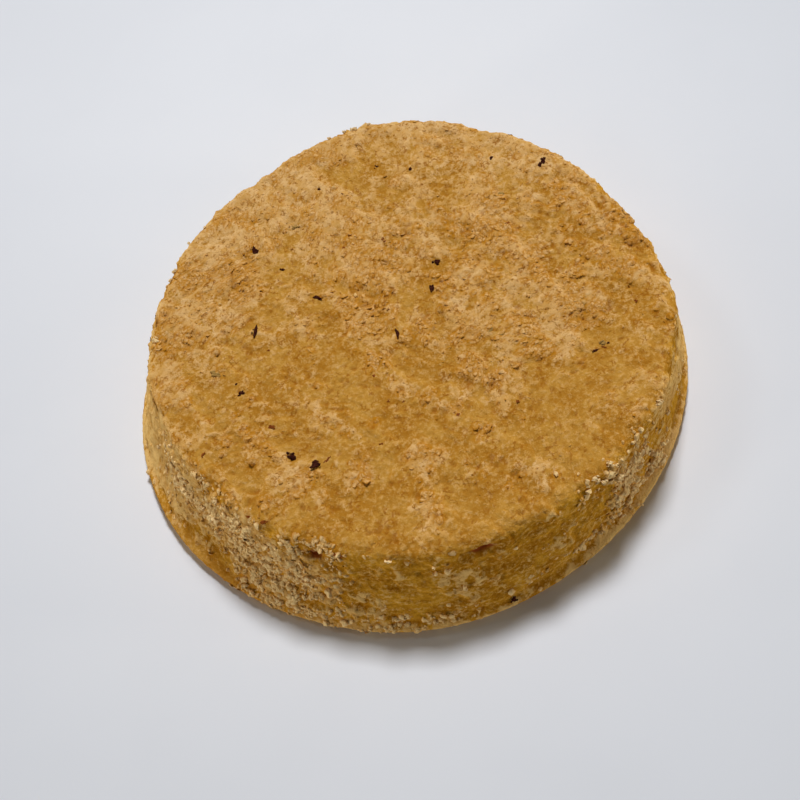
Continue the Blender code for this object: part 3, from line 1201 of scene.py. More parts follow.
class NodeSheet:
    """A node tree, with short ways to add nodes and to join them."""

    def __init__(self, tree: bpy.types.NodeTree) -> None:
        """Start on a tree."""
        self.tree = tree

    def add(self, kind: str, **settings: object) -> bpy.types.Node:
        """Add a node.

        Args:
            kind: The node's type.
            **settings: Its properties, by name.

        Returns:
            The node.
        """
        node = self.tree.nodes.new(kind)
        for name, value in settings.items():
            setattr(node, name, value)
        return node

    def feed(self, node: bpy.types.Node, **inputs: object) -> bpy.types.Node:
        """Set or link a node's inputs, where an underscore stands for a space.

        Args:
            node: The node.
            **inputs: A socket to link from, or a value, for each input.

        Returns:
            The same node.
        """
        for name, value in inputs.items():
            socket = self.input_of(node, name)
            if isinstance(value, bpy.types.NodeSocket):
                self.tree.links.new(value, socket)
            else:
                socket.default_value = value
        return node

    @staticmethod
    def input_of(node: bpy.types.Node, name: str) -> bpy.types.NodeSocket:
        """Find an input of a node.

        Args:
            node: The node.
            name: The input's name, or in_ and its number.

        Returns:
            The input.
        """
        if name.startswith("in_"):
            return node.inputs[int(name[3:])]
        return node.inputs[name.replace("_", " ")]

    def attribute(self, name: str) -> bpy.types.NodeSocket:
        """Read one of the mesh's looks."""
        return self.add("ShaderNodeAttribute", attribute_name=name).outputs["Fac"]

    def sum(self, operation: str, *values: object) -> bpy.types.NodeSocket:
        """Work out one sum.

        Args:
            operation: What is done with the values.
            *values: Sockets or plain numbers.

        Returns:
            The result.
        """
        node = self.add("ShaderNodeMath", operation=operation)
        self.feed(node, **{f"in_{place}": value for place, value in enumerate(values)})
        return node.outputs[0]

    def span(self, value: object, low: float, high: float) -> bpy.types.NodeSocket:
        """Spread a value smoothly over 0 to 1.

        Args:
            value: The value.
            low: Where the result is 0.
            high: Where it is 1.

        Returns:
            The result.
        """
        node = self.add("ShaderNodeMapRange", interpolation_type="SMOOTHSTEP")
        self.feed(node, Value=value, From_Min=low, From_Max=high)
        return node.outputs["Result"]

    def mix(self, share: object, first: object, second: object) -> bpy.types.NodeSocket:
        """Mix two colours.

        Args:
            share: How much of the second there is, 0 to 1.
            first: The first colour.
            second: The second colour.

        Returns:
            The mixed colour.
        """
        node = self.add("ShaderNodeMix", data_type="RGBA")
        self.feed(node, in_0=share, in_6=opaque(first), in_7=opaque(second))
        return node.outputs[2]

    def noise(self, place: object, size: object, detail: float, rough: float = 0.5) -> bpy.types.NodeSocket:
        """Read noise.

        Args:
            place: Where to read it.
            size: How wide its swells are, in metres.
            detail: How many finer layers it has.
            rough: How strong each finer layer is, beside the one before.

        Returns:
            The value, about 0.25 to 0.75.
        """
        node = self.add("ShaderNodeTexNoise")
        rate = self.sum("DIVIDE", 1.0, size)
        self.feed(node, Vector=place, Scale=rate, Detail=detail, Roughness=rough)
        return node.outputs["Fac"]

    def grit(self, size: float, shift: float = 0.0) -> bpy.types.Node:
        """Place the grit group, with its grain's size and its shift."""
        return self.feed(self.add("ShaderNodeGroup", node_tree=Grit().tree()), Size=size, Shift=shift)

    def bump(self, height: bpy.types.NodeSocket, depth: float) -> bpy.types.NodeSocket:
        """Turn a height into a normal."""
        return self.feed(self.add("ShaderNodeBump"), Height=height, Distance=depth).outputs["Normal"]


def opaque(colour: object) -> object:
    """Give a plain colour its alpha, and pass a socket on."""
    return (*colour, 1.0) if isinstance(colour, tuple) else colour


@dataclass(frozen=True)
class Grit:
    """A shader group that crust, crumbs and floor share: uneven grain at several sizes.

    Its inputs are the size of a grain in metres and a shift.  Its outputs, all 0 to 1,
    are a broad mottle, a fine speckle, a tone that differs from grain to grain, lines of
    painted shade in the crevices between grains, a few tiny holes, and a height.  The
    sizes here are counted in grains.
    """

    name: str = "grit"
    outputs: tuple[str, ...] = ("Mottle", "Fine", "Tone", "Crevice", "Hole", "Height")
    usual_grain: float = 0.0005
    squash: Place = (1.0, 1.0, 1.6)
    bend: Place = (1.6, 1.6, 1.6)
    mottle_size: float = 4.5
    mottle_edge: Span = (0.38, 0.62)
    fine_size: float = 0.9
    fine_roughness: float = 0.85
    fine_edge: Span = (0.3, 0.7)
    crevice_size: float = 1.3
    crevice_edge: Span = (0.06, 0.0)
    crevice_break_size: float = 1.9
    crevice_break: Span = (0.51, 0.64)
    hole_grains: Span = (0.9, 0.95)
    hole_edge: Span = (0.45, 0.1)
    height_level: float = 0.5
    height_grain: float = -0.4
    height_fine: float = 0.9
    height_hole: float = -0.2

    def tree(self) -> bpy.types.NodeTree:
        """Return the group, building it the first time."""
        return bpy.data.node_groups.get(self.name) or self.build()

    def build(self) -> bpy.types.NodeTree:
        """Build the group.

        Returns:
            The group's tree.
        """
        tree = bpy.data.node_groups.new(self.name, "ShaderNodeTree")
        size = tree.interface.new_socket("Size", in_out="INPUT", socket_type="NodeSocketFloat")
        size.default_value = self.usual_grain
        tree.interface.new_socket("Shift", in_out="INPUT", socket_type="NodeSocketFloat")
        for name in self.outputs:
            tree.interface.new_socket(name, in_out="OUTPUT", socket_type="NodeSocketFloat")
        sheet = NodeSheet(tree)
        given = sheet.add("NodeGroupInput").outputs
        shifted = sheet.add("ShaderNodeVectorMath", operation="MULTIPLY_ADD")
        place = sheet.add("ShaderNodeTexCoord").outputs["Object"]
        sheet.feed(shifted, in_0=place, in_1=self.squash, in_2=given["Shift"])
        place = shifted.outputs[0]
        grain = given["Size"]

        def swells(grains: float, detail: float, rough: float = 0.5) -> bpy.types.NodeSocket:
            """Read noise whose swells are some grains wide."""
            return sheet.noise(place, sheet.sum("MULTIPLY", grain, grains), detail, rough)

        fine = swells(self.fine_size, 3.0, self.fine_roughness)
        warp = sheet.add("ShaderNodeVectorMath", operation="MULTIPLY_ADD")
        bent = sheet.sum("MULTIPLY", sheet.noise(place, grain, 2.0), grain)
        sheet.feed(warp, in_0=bent, in_1=self.bend, in_2=place)
        cells = sheet.add("ShaderNodeTexVoronoi")
        sheet.feed(cells, Vector=warp.outputs[0], Scale=sheet.sum("DIVIDE", 1.0, grain))
        apart = sheet.add("ShaderNodeSeparateColor")
        sheet.feed(apart, Color=cells.outputs["Color"])
        wander = swells(self.crevice_size, 2.0)
        line = sheet.span(sheet.sum("ABSOLUTE", sheet.sum("SUBTRACT", wander, 0.5)), *self.crevice_edge)
        broken = sheet.span(swells(self.crevice_break_size, 2.0), *self.crevice_break)
        few = sheet.span(apart.outputs[1], *self.hole_grains)
        hole = sheet.sum("MULTIPLY", few, sheet.span(cells.outputs["Distance"], *self.hole_edge))
        height = sheet.sum("MULTIPLY_ADD", cells.outputs["Distance"], self.height_grain, self.height_level)
        height = sheet.sum("MULTIPLY_ADD", fine, self.height_fine, height)
        height = sheet.sum("MULTIPLY_ADD", hole, self.height_hole, height)
        sheet.feed(
            sheet.add("NodeGroupOutput"),
            Mottle=sheet.span(swells(self.mottle_size, 4.0), *self.mottle_edge),
            Fine=sheet.span(fine, *self.fine_edge),
            Tone=apart.outputs[0],
            Crevice=sheet.sum("MULTIPLY", line, broken),
            Hole=hole,
            Height=height,
        )
        return tree


@dataclass(frozen=True)
class BakedFinish:
    """The dry, sandy finish of baked dough.

    Colours are linear.  Golden is smooth crust, pale is floury crumb, and wall is the side,
    whose colours are made lighter as painted light.  The deep shade and pit colour is
    painted shade in the crevices and tiny holes and also colours the small pits, and the
    lump shade colour is painted shade round the foot of each lump.
    """

    name: str
    golden: Colour = (0.675, 0.372, 0.072)
    amber: Colour = (0.470, 0.198, 0.017)
    pale: Colour = (0.835, 0.548, 0.242)
    buff: Colour = (0.700, 0.395, 0.110)
    # The side's colours: its own olive bake, made lighter as painted light, standing in for light that the
    # crumb carries round to the side.
    wall: Colour = (0.740, 0.388, 0.034)
    wall_deep: Colour = (0.370, 0.140, 0.004)
    wall_flour: Colour = (0.800, 0.530, 0.195)
    # Painted shade in the crevices and tiny holes, and the colour of the small pits.
    shade_and_pit_brown: Colour = (0.370, 0.125, 0.008)
    # Painted shade round the foot of each lump and on its lower flank.
    gap: Colour = (0.540, 0.220, 0.010)
    toasted: Colour = (0.270, 0.060, 0.012)
    underside: Colour = (0.330, 0.150, 0.028)
    grain_size: float = 0.00055
    shift: float = 0.0
    patch_level: float = 0.55
    patch_mottle: float = 0.45
    patch_fine: float = -0.55
    flour_bias: float = -0.14
    flour_looks: float = 0.62
    flour_fine: float = 0.7
    flour_tone: float = 0.24
    flour_edge: Span = (0.3, 0.92)
    # How strong the painted shade round the lumps is, and how much of it the side loses.
    gap_shade_share: float = 0.85
    gap_shade_loss: float = 0.4
    # How strong the painted crevice shade is, and how much of it the side loses.
    crevice_shade_share: float = 0.75
    crevice_shade_loss: float = 0.75
    pit_share: float = 0.6
    roughness: float = 0.82
    diffuse_roughness: float = 0.3
    bump_depth: float = 0.00014

    def material(self) -> bpy.types.Material:
        """Build the material.

        Returns:
            The material, which reads a mesh's looks.
        """
        material, sheet, surface = new_material(self.name)
        grit = sheet.grit(self.grain_size, self.shift)
        mottle, fine, tone = (grit.outputs[name] for name in ("Mottle", "Fine", "Tone"))
        side = sheet.attribute("side")

        patchy = sheet.sum("MULTIPLY_ADD", mottle, self.patch_mottle, self.patch_level)
        patchy = sheet.sum("MULTIPLY_ADD", fine, self.patch_fine, patchy)
        crust = sheet.mix(patchy, self.golden, self.amber)
        flour = sheet.mix(side, sheet.mix(tone, self.pale, self.buff), self.wall_flour)
        wall = sheet.mix(patchy, self.wall, self.wall_deep)
        base = sheet.mix(side, crust, wall)
        spread = sheet.sum("MULTIPLY_ADD", sheet.attribute("flour"), self.flour_looks, self.flour_bias)
        spread = sheet.sum("MULTIPLY_ADD", fine, self.flour_fine, spread)
        spread = sheet.sum("MULTIPLY_ADD", tone, self.flour_tone, spread)
        colour = sheet.mix(sheet.span(spread, *self.flour_edge), base, flour)

        # Painted shade: crevice lines and tiny holes take the deep shade colour, less so on the side, and
        # the small pits take it too.
        lost = -self.crevice_shade_loss * self.crevice_shade_share
        dark = sheet.sum("MAXIMUM", grit.outputs["Crevice"], grit.outputs["Hole"])
        dark = sheet.sum("MULTIPLY", dark, sheet.sum("MULTIPLY_ADD", side, lost, self.crevice_shade_share))
        dark = sheet.sum("MAXIMUM", dark, sheet.sum("MULTIPLY", sheet.attribute("pit"), self.pit_share))
        # Painted shade round the lumps, weaker on the side.
        shown = sheet.sum("MULTIPLY_ADD", side, -self.gap_shade_loss * self.gap_shade_share, self.gap_shade_share)
        colour = sheet.mix(sheet.sum("MULTIPLY", sheet.attribute("gap"), shown), colour, self.gap)
        colour = sheet.mix(dark, colour, self.shade_and_pit_brown)
        colour = sheet.mix(sheet.attribute("toast"), colour, self.toasted)
        colour = sheet.mix(sheet.attribute("under"), colour, self.underside)
        normal = sheet.bump(grit.outputs["Height"], self.bump_depth)
        sheet.feed(surface, Base_Color=colour, Normal=normal)
        surface.inputs["Roughness"].default_value = self.roughness
        surface.inputs["Specular IOR Level"].default_value = 0.0
        surface.inputs["Diffuse Roughness"].default_value = self.diffuse_roughness
        return material


@dataclass(frozen=True)
class FleckFinish:
    """The dull finish of a charred or toasted chip, mottled between two colours."""

    name: str
    deep: Colour
    bright: Colour
    grain_size: float = 0.00022
    roughness: float = 0.6
    bump_share: float = 0.25

    def material(self) -> bpy.types.Material:
        """Build the material.

        Returns:
            The material.
        """
        material, sheet, surface = new_material(self.name)
        grit = sheet.grit(self.grain_size)
        colour = sheet.mix(grit.outputs["Fine"], self.deep, self.bright)
        normal = sheet.bump(grit.outputs["Height"], self.grain_size * self.bump_share)
        sheet.feed(surface, Base_Color=colour, Normal=normal)
        surface.inputs["Roughness"].default_value = self.roughness
        surface.inputs["Specular IOR Level"].default_value = 0.0
        return material


@dataclass(frozen=True)
class FloorFinish:
    """A plain pale matt surface with a painted pool of light, dimmer away from its centre."""

    name: str = "pale_floor"
    # The floor's colours at the centre of its painted pool of light and far from it.
    light: Colour = (0.811, 0.841, 0.912)
    painted_dim: Colour = (0.702, 0.732, 0.800)
    blotch_size: float = 0.005
    painted_light_centre: Place = (-0.015, 0.025, 0.0)
    reach: float = 0.095
    mottle_share: float = 0.12
    roughness: float = 0.6

    def material(self) -> bpy.types.Material:
        """Build the material.

        Returns:
            The material.
        """
        material, sheet, surface = new_material(self.name)
        grit = sheet.grit(self.blotch_size)
        away = sheet.add("ShaderNodeVectorMath", operation="DISTANCE")
        place = sheet.add("ShaderNodeTexCoord").outputs["Object"]
        sheet.feed(away, in_0=place, in_1=self.painted_light_centre)
        # Painted light: the floor dims with distance from the pool's centre, with random mottle on top.
        painted_falloff = sheet.span(away.outputs["Value"], 0.0, self.reach)
        painted_falloff = sheet.sum("MULTIPLY_ADD", grit.outputs["Mottle"], self.mottle_share, painted_falloff)
        sheet.feed(surface, Base_Color=sheet.mix(painted_falloff, self.light, self.painted_dim))
        surface.inputs["Roughness"].default_value = self.roughness
        return material


def new_material(name: str) -> tuple[bpy.types.Material, NodeSheet, bpy.types.Node]:
    """Start a material.

    Args:
        name: The material's name.

    Returns:
        The material, its sheet of nodes, and its Principled shader.
    """
    material = bpy.data.materials.new(name)
    material.use_nodes = True
    return material, NodeSheet(material.node_tree), material.node_tree.nodes["Principled BSDF"]


# --- The studio -----------------------------------------------------------------------


@dataclass(frozen=True)
class Lamp:
    """A square soft lamp that faces the cookie: place and size in millimetres."""

    name: str
    place: Place
    size: float
    power: float
    colour: Colour = (1.0, 1.0, 1.0)

    def hang(self) -> None:
        """Hang the lamp."""
        light = bpy.data.lights.new(self.name, "AREA")
        light.size = self.size * METRES
        light.energy = self.power
        light.color = self.colour
        hung = bpy.data.objects.new(self.name, light)
        place = Vector(self.place) * METRES
        hung.location = place
        hung.rotation_euler = (-place).to_track_quat("-Z", "Y").to_euler()
        bpy.context.scene.collection.objects.link(hung)


@dataclass(frozen=True)
class Studio:
    """The floor, the lights and the camera."""

    floor_half: float = 900.0
    field_of_view: float = math.radians(30)
    elevation: float = math.radians(60)
    roll: float = math.radians(-15.88)
    distance: float = 140.07
    target: Span = (-1.22, -1.56)
    sensor: float = 36.0
    clip_start: float = 0.01
    sky: Colour = (1.0, 0.93, 0.76)
    sky_strength: float = 0.075
    lamps: tuple[Lamp, ...] = (
        Lamp("back_lamp", (106.0, 291.0, 627.0), 135.0, 3.81),
        Lamp("side_lamp", (-350.0, 200.0, 573.0), 120.0, 0.25),
        Lamp("low_left_lamp", (-645.0, -235.0, 52.0), 100.0, 1.68, (1.0, 0.9, 0.72)),
        Lamp("low_right_lamp", (645.0, -225.0, 52.0), 100.0, 1.44, (1.0, 0.9, 0.72)),
    )

    def build(self, shift: Vector) -> None:
        """Set the stage.

        Args:
            shift: How far the cookie's form was moved, in millimetres.
        """
        self.lay_floor()
        self.hang_lights()
        self.place_camera(shift)
        bpy.context.scene.view_settings.view_transform = "Standard"

    def lay_floor(self) -> None:
        """Lay the floor that the cookie rests on."""
        half = self.floor_half
        corners = np.array([(-half, -half, 0), (half, -half, 0), (half, half, 0), (-half, half, 0)], float)
        floor = new_object("floor", corners, [(0, 1, 2, 3)], None)
        floor.data.materials.append(FloorFinish().material())

    def hang_lights(self) -> None:
        """Hang the lamps under an even sky."""
        world = bpy.data.worlds.new("even_sky")
        world.use_nodes = True
        background = world.node_tree.nodes["Background"]
        background.inputs["Color"].default_value = (*self.sky, 1.0)
        background.inputs["Strength"].default_value = self.sky_strength
        bpy.context.scene.world = world
        for lamp in self.lamps:
            lamp.hang()

    def place_camera(self, shift: Vector) -> None:
        """Look down on the cookie from the front, turned a little about the view.

        Args:
            shift: How far the cookie's form was moved, in millimetres.
        """
        back = Vector((0.0, -math.cos(self.elevation), math.sin(self.elevation)))
        right = Vector((1.0, 0.0, 0.0))
        up = back.cross(right)
        turned_right = right * math.cos(self.roll) + up * math.sin(self.roll)
        turned_up = up * math.cos(self.roll) - right * math.sin(self.roll)
        axes = Matrix((turned_right, turned_up, back)).transposed()
        camera = bpy.data.cameras.new("camera")
        camera.sensor_width = self.sensor
        camera.lens = self.sensor / (2 * math.tan(self.field_of_view / 2))
        camera.clip_start = self.clip_start
        held = bpy.data.objects.new("camera", camera)
        place = Vector((*self.target, 0.0)) + shift + back * self.distance
        held.matrix_world = Matrix.Translation(place * METRES) @ axes.to_4x4()
        bpy.context.scene.collection.objects.link(held)
        bpy.context.scene.camera = held


# --- The cookie -----------------------------------------------------------------------


@dataclass(frozen=True)
class Clumps:
    """Tight clusters by chance: how wide they are, and where in the noise they are read."""

    size: float
    shift: Place
    edge: Span = (0.0, 0.3)

    def share(self, places: np.ndarray) -> np.ndarray:
        """Return 1 in the clusters and 0 between them."""
        return smooth_step(*self.edge, noise_at(places, self.size, np.array(self.shift)))


@dataclass
class Cookie:
    """The whole cookie: its crust, and all that lies on it.

    A foot or rim is where the crust begins to carry something, a stray share is what
    lies outside the drifts and clusters, and a loose share what lies between clusters.
    """

    form: CookieForm = field(default_factory=CookieForm)
    crumb_drifts: tuple[Drift, ...] = each(
        Drift,
        (-163, 7, 6.2, 2.0, 0.9), (-153, 7, 6.6, 2.2, 0.9), (-145, 7, 6.6, 2.4, 1.0),
        (-135, 9, 5.6, 3.0, 1.0), (-128, 8, 4.6, 2.6, 0.6), (-120, 12, 1.4, 0.7, 0.9),
        (-121, 7, 8.8, 1.4, 0.8), (-105, 14, 2.0, 1.2, 0.3), (-130, 12, 0.8, 0.4, 0.9),
        (-54, 5, 8.8, 1.4, 0.7), (-50, 5, 5.2, 2.0, 0.6), (-61, 9, 2.7, 0.5, 1.0), (-44, 4, 3.0, 1.0, 0.5),
    )
    chunk_drifts: tuple[Drift, ...] = each(
        Drift,
        (-165, 4, 6.4, 1.0, 0.6), (-162, 4, 5.2, 0.9, 0.7), (-154, 4, 6.0, 1.2, 1.0),
        (-146, 5, 6.6, 1.4, 0.9), (-141, 5, 7.0, 1.4, 0.8), (-136, 6, 4.4, 1.4, 0.6),
        (-128, 6, 4.8, 1.6, 0.6), (-127, 12, 1.5, 0.6, 0.3), (-120, 4, 9.0, 0.8, 0.7),
        (-59, 3, 9.2, 0.5, 0.8), (-53, 3, 8.6, 0.8, 1.0), (-45, 2, 9.2, 0.8, 0.7), (-46, 3, 6.4, 1.0, 3.6),
        (-51, 3, 5.2, 0.9, 2.6), (-41, 3, 2.8, 0.9, 4.0), (-47, 3, 2.6, 0.6, 3.0), (-61, 7, 2.6, 0.3, 2.0),
    )
    flecks: tuple[Fleck, ...] = (
        *lying(
            FleckKind.CHARRED,
            on_top,
            (17.5, 12.8, 0.8, 0.5, 60), (17.2, 12.4, 0.5, 0.35, 20), (13.2, 14.8, 0.5, 0.35, 10),
            (5.6, 16.4, 0.45, 0.35), (2.6, 17.7, 0.45, 0.35), (-3.2, 16.9, 0.5, 0.3, -40),
            (-10.4, 11.9, 0.8, 0.55, -60), (-11.4, 11.9, 0.35, 0.3), (-8.2, 9.2, 0.5, 0.35, -20),
            (-5.9, 5.0, 1.1, 0.3, -35), (-12.1, 3.2, 1.4, 0.45, 75), (5.4, 5.3, 0.75, 0.55, 20),
            (4.2, 2.7, 0.75, 0.55, 50), (0.0, -1.2, 1.2, 0.4, 85), (-14.4, -2.4, 0.65, 0.45),
            (-14.7, -1.4, 0.3, 0.25), (-11.4, -9.8, 1.0, 0.65, -10), (-9.6, -11.4, 1.1, 0.65, 33),
            (16.0, -8.0, 0.6, 0.25, 16), (17.4, -7.55, 0.3, 0.25),
        ),
        *lying(
            FleckKind.CHARRED,
            on_side,
            (-82, 1.5, 0.7, 0.5, 40),
        ),
        *lying(
            FleckKind.TOASTED,
            on_top,
            (-8.6, -11.1, 0.7, 0.22, 33), (16.9, -8.0, 0.8, 0.15, -29), (-3.7, -11.2, 0.35, 0.3),
            (-12.4, -6.5, 0.9, 0.35, -10), (-2.3, 9.5, 0.35, 0.25), (1.2, 9.3, 0.3, 0.25),
            (1.5, 9.1, 0.3, 0.2, 40), (-11.3, 1.1, 0.3, 0.25), (-2.8, -4.6, 0.35, 0.3),
            (-2.2, -7.4, 0.35, 0.25), (-1.0, -7.8, 0.3, 0.25), (12.6, 7.1, 0.35, 0.25),
            (-18.8, -7.4, 0.45, 0.3, 30), (21.0, -4.2, 0.4, 0.3), (8.2, -10.8, 0.35, 0.3),
            (3.2, -10.6, 0.4, 0.3),
        ),
        *lying(
            FleckKind.TOASTED,
            on_side,
            (-117, 9.5, 0.9, 0.4), (-57, 4.1, 0.4, 0.3), (-135, 10.2, 0.8, 0.4), (-139, 10.0, 0.5, 0.35),
        ),
        *lying(
            FleckKind.FAINT,
            on_top,
            (-16.3, 0.2, 0.9, 0.5, -40), (16.8, -7.4, 0.9, 0.45, 16), (13.0, 10.7, 0.6, 0.4),
            (8.0, -3.4, 0.7, 0.35, 20), (9.0, -4.2, 0.5, 0.3), (-6.2, 13.6, 0.6, 0.4),
        ),
    )
    large_crumbs: tuple[Row, ...] = (
        (-32, 5.3, 0.5, 0.4), (-36, 9.2, 0.8, 0.45), (-39, 1.9, 0.95, 0.8), (-40, 3.6, 0.55, 0.45),
        (-40.5, 1.6, 0.7, 0.5), (-41.5, 4.7, 0.6, 0.5), (-42, 3.6, 0.7, 0.5), (-43, 2.9, 1.1, 0.55),
        (-45, 2.0, 0.9, 0.45), (-45, 7.4, 0.6, 0.5), (-46, 5.6, 0.65, 0.8), (-49, 4.0, 0.6, 0.5),
        (-52, 8.0, 0.9, 0.6), (-52, 5.0, 0.7, 0.45), (-53, 1.9, 0.7, 0.3), (-53, 9.9, 0.6, 0.45),
        (-54, 6.4, 0.6, 0.4), (-56, 9.0, 0.6, 0.45), (-57, 9.8, 0.7, 0.5), (-60, 2.5, 0.6, 0.4),
        (-61, 3.2, 0.55, 0.35), (-91, 5.2, 0.55, 0.5), (-93, 7.9, 0.3, 0.25), (-96, 7.6, 0.5, 0.45),
        (-96, 8.6, 0.3, 0.25), (-105, 9.7, 0.5, 0.45), (-118, 8.6, 0.5, 0.4), (-122, 5.9, 0.5, 0.4),
        (-124, 6.1, 0.7, 0.5), (-128, 5.3, 0.5, 0.45), (-131, 2.0, 0.7, 0.5), (-132, 3.9, 0.6, 0.45),
        (-136, 2.7, 0.6, 0.45), (-137, 1.1, 0.6, 0.4), (-139, 1.1, 0.7, 0.45), (-140, 3.8, 0.8, 0.5),
        (-143, 4.1, 0.5, 0.4), (-145, 7.0, 0.5, 0.4), (-148, 6.5, 0.9, 0.6), (-149, 5.0, 0.7, 0.45),
        (-149, 8.8, 0.5, 0.4), (-153, 6.4, 0.6, 0.45), (-159, 4.5, 0.4, 0.35), (-160, 7.0, 0.7, 0.4),
        (-160, 5.9, 0.8, 0.5), (-163, 5.6, 0.6, 0.5), (-168, 8.3, 0.5, 0.4), (-175, 4.8, 0.5, 0.4),
        (165, 9.8, 0.8, 0.6), (148, 9.8, 0.4, 0.3), (145, 9.8, 0.6, 0.45), (137, 9.8, 0.35, 0.3),
        (131, 9.8, 0.35, 0.3), (92, 10.1, 0.4, 0.3), (88.5, 10.2, 0.5, 0.35), (86, 10.2, 0.6, 0.4),
        (82, 10.2, 0.45, 0.3),
    )
    large_crumb_turn: float = -14.0
    large_crumb_height: float = 1.1
    large_crumb_lift: float = 0.3
    fleck_finishes: dict[FleckKind, FleckFinish] = field(
        default_factory=lambda: {
            FleckKind.CHARRED: FleckFinish("charred_fleck", (0.020, 0.003, 0.003), (0.080, 0.024, 0.014)),
            FleckKind.TOASTED: FleckFinish("toasted_fleck", (0.200, 0.045, 0.010), (0.330, 0.100, 0.020)),
            FleckKind.FAINT: FleckFinish("faint_fleck", (0.300, 0.170, 0.045), (0.480, 0.300, 0.090)),
            # Large pale crumbs, made paler partly as painted light for those that lie in the side's shade.
            FleckKind.PALE: FleckFinish("pale_crumb", (0.760, 0.530, 0.240), (0.930, 0.730, 0.420)),
        }
    )
    flake_clumps: Clumps = Clumps(2.4, (5.0, 1.0, 11.0))
    crumb_clumps: Clumps = Clumps(1.1, (4.0, 9.0, 2.0), (0.05, 0.3))
    chunk_clumps: Clumps = Clumps(1.3, (14.0, 3.0, 7.0))
    grain_foot: Span = (0.8, 2.5)
    flake_foot: Span = (1.5, 3.0)
    crumb_foot: float = 0.35
    chunk_foot: float = 0.6
    chunk_rim: Span = (21.3, 22.3)
    flake_far: Span = (5.0, 16.0)
    flake_far_loss: float = 0.85
    grain_side_loss: float = 0.8
    flake_side_loss: float = 0.5
    crumb_side: Span = (0.02, 0.3)
    stray_grains: float = 0.1
    stray_flakes: float = 0.08
    stray_crumbs: float = 0.005
    stray_chunks: float = 0.0003
    loose_crumbs: float = 0.06
    loose_chunks: float = 0.3

    def build(self) -> Vector:
        """Build every piece.

        Returns:
            How far the form was moved to stand where the solid stands, in millimetres.
        """
        skin, faces = Crust(self.form, Relief(self.form.thickness)).lay_out()
        scattered = self.scatter_on(skin)
        crust = new_object("crust", skin.places, faces, skin.looks)
        pieces = [crust, *scattered]
        finish = BakedFinish("baked_crust_finish").material()
        crumb_finish = self.crumb_finish()
        for piece in pieces:
            loose = piece.name in ("side_crumbs", "chunky_crumbs")
            piece.data.materials.append(crumb_finish if loose else finish)
        pieces += self.lay_flecks(skin)
        shift = self.shift_to_solid(skin)
        for piece in pieces:
            piece.data.transform(Matrix.Translation(shift * METRES))
            self.place(piece)
        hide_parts(NODE)
        return shift

    def scatter_on(self, skin: Skin) -> list[bpy.types.Object]:
        """Scatter grains, flakes and crumbs over the crust.

        Args:
            skin: The crust, whose looks get painted shade round the lumps.

        Returns:
            One object for each kind.
        """
        scattered = []
        for scatter in self.scatters():
            laid = scatter.lay(skin)
            if scatter.outlined:
                skin.paint_gap_shade(laid)
            scattered.append(scatter.join(laid))
        return scattered

    def lay_flecks(self, skin: Skin) -> list[bpy.types.Object]:
        """Lay the flecks and the larger crumbs in the crust.

        Args:
            skin: The crust.

        Returns:
            One object for each kind, with its finish.
        """
        turn, tall, lift = self.large_crumb_turn, self.large_crumb_height, self.large_crumb_lift
        crumbs = (
            Fleck(on_side(direction, height), length, width, turn, FleckKind.PALE, tall, lift)
            for direction, height, length, width in self.large_crumbs
        )
        flecks = (*self.flecks, *crumbs)
        made = []
        for kind, look in self.fleck_finishes.items():
            made.append(FleckSet(kind, flecks).build(skin))
            made[-1].data.materials.append(look.material())
        return made

    @staticmethod
    def crumb_finish() -> bpy.types.Material:
        """Make the finish of the loose crumbs, paler and plainer than the crust's.

        Returns:
            The material.
        """
        return BakedFinish(
            "loose_crumb_finish",
            pale=(0.880, 0.640, 0.320),
            buff=(0.760, 0.480, 0.170),
            # Paler on the side, partly as painted light for crumbs that lie in the side's shade.
            wall_flour=(0.920, 0.690, 0.345),
            shift=0.013,
            gap_shade_share=1.0,
            crevice_shade_share=0.15,
        ).material()

    @staticmethod
    def shift_to_solid(skin: Skin) -> Vector:
        """Work out how far the form has to move to stand where the solid stands.

        Args:
            skin: The crust, before the move.

        Returns:
            The move, in millimetres.
        """
        low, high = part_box(NODE)
        across = skin.places[:, :2]
        middle = (across.min(axis=0) + across.max(axis=0)) / 2
        return Vector((*(-middle), 0.0)) + Vector((*(low + high).xy, 0.0)) / (2 * METRES)

    @staticmethod
    def place(piece: bpy.types.Object) -> None:
        """Tie a piece to the solid and report it.

        Args:
            piece: The piece, in its place.
        """
        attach(piece, BODY)
        log.info("%s: %d faces", piece.name, len(piece.data.polygons))

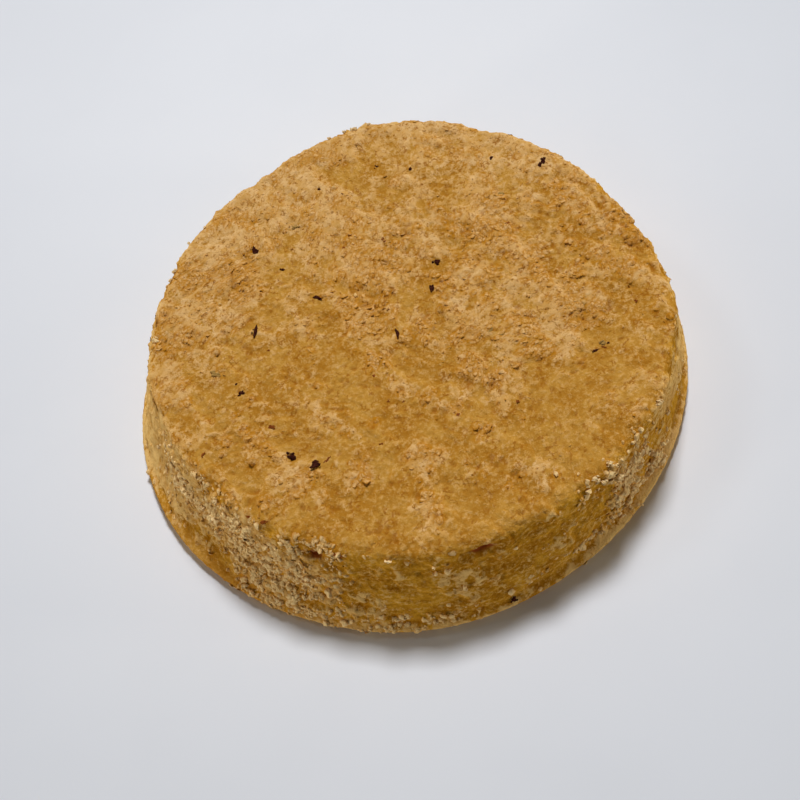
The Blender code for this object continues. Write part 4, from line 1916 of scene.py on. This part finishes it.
    def scatters(self) -> Iterable[Scatter]:
        """List what is scattered on the crust.

        Returns:
            The kinds of grains, flakes and crumbs, in the order that they are laid.
        """
        return (
            Scatter(
                "fine_grains",
                count=9000,
                sizes=(0.22, 0.5),
                shapes=Shapes(kinds=10, corners=14, seed=3, caps=True),
                density=self.sandy,
                seed=11,
                sink=(0.12, 0.22),
                flatness=(0.35, 0.6),
                flour_shift=(-0.3, 0.3),
                outlined=False,
            ),
            Scatter(
                "crust_flakes",
                count=3600,
                sizes=(0.38, 0.75),
                shapes=Shapes(kinds=14, corners=30, seed=4, caps=True),
                density=self.floury,
                seed=13,
                sink=(0.06, 0.1),
                flatness=(0.24, 0.32),
                tilt=0.04,
                flour_shift=(-0.3, 0.3),
            ),
            Scatter(
                "side_crumbs",
                count=2400,
                sizes=(0.3, 0.8),
                shapes=Shapes(kinds=12, corners=22, seed=5, caps=True),
                density=self.crumbly,
                seed=12,
                sink=(0.06, 0.16),
                flatness=(0.5, 0.8),
                tilt=0.2,
                flour_shift=(0.4, 1.0),
                foot=(0.05, 0.6),
            ),
            Scatter(
                "chunky_crumbs",
                count=640,
                sizes=(0.32, 0.85),
                shapes=Shapes(kinds=16, corners=22, seed=6),
                density=self.chunky,
                seed=17,
                sink=(-0.1, 0.15),
                flour_shift=(0.8, 1.0),
                foot=(-0.4, 0.3),
                rounded=False,
            ),
        )

    def sandy(self, places: np.ndarray, looks: Looks) -> np.ndarray:
        """Lay grains mostly where the crust is floury."""
        clear = smooth_step(*self.grain_foot, places[:, 2])
        return (self.stray_grains + looks.flour**2) * (1.0 - self.grain_side_loss * looks.side) * clear

    def floury(self, places: np.ndarray, looks: Looks) -> np.ndarray:
        """Lay flakes in tight clusters where the crust is palest.

        Args:
            places: Places on the crust.
            looks: Its looks there.

        Returns:
            How thickly they lie at each place.
        """
        clear = smooth_step(*self.flake_foot, places[:, 2])
        far = 1.0 - self.flake_far_loss * smooth_step(*self.flake_far, places[:, 1])
        laid = looks.flour**3 * (self.stray_flakes + self.flake_clumps.share(places))
        return laid * (1.0 - self.flake_side_loss * looks.side) * clear * far

    def chunky(self, places: np.ndarray, looks: Looks) -> np.ndarray:
        """Lay the larger crumbs in tight clusters within the drifts.

        Args:
            places: Places on the crust.
            looks: Its looks there.

        Returns:
            How thickly they lie at each place.
        """
        drifted = summed(self.chunk_drifts, places) * (self.loose_chunks + self.chunk_clumps.share(places))
        rim = smooth_step(*self.chunk_rim, np.hypot(places[:, 0], places[:, 1]))
        return (self.stray_chunks + drifted * rim) * (places[:, 2] > self.chunk_foot)

    def crumbly(self, places: np.ndarray, looks: Looks) -> np.ndarray:
        """Lay crumbs in drifts on the near left and near right of the side.

        Args:
            places: Places on the crust.
            looks: Its looks there.

        Returns:
            How thickly they lie at each place.
        """
        drifted = summed(self.crumb_drifts, places) * (self.loose_crumbs + self.crumb_clumps.share(places))
        on_the_side = smooth_step(*self.crumb_side, looks.side)
        return (self.stray_crumbs + drifted) * on_the_side * (places[:, 2] > self.crumb_foot)


def main() -> None:
    """Build the cookie and its studio."""
    logging.basicConfig(level=logging.INFO, format="%(name)s: %(message)s")
    shift = Cookie().build()
    Studio().build(shift)


if __name__ == "__main__":
    main()
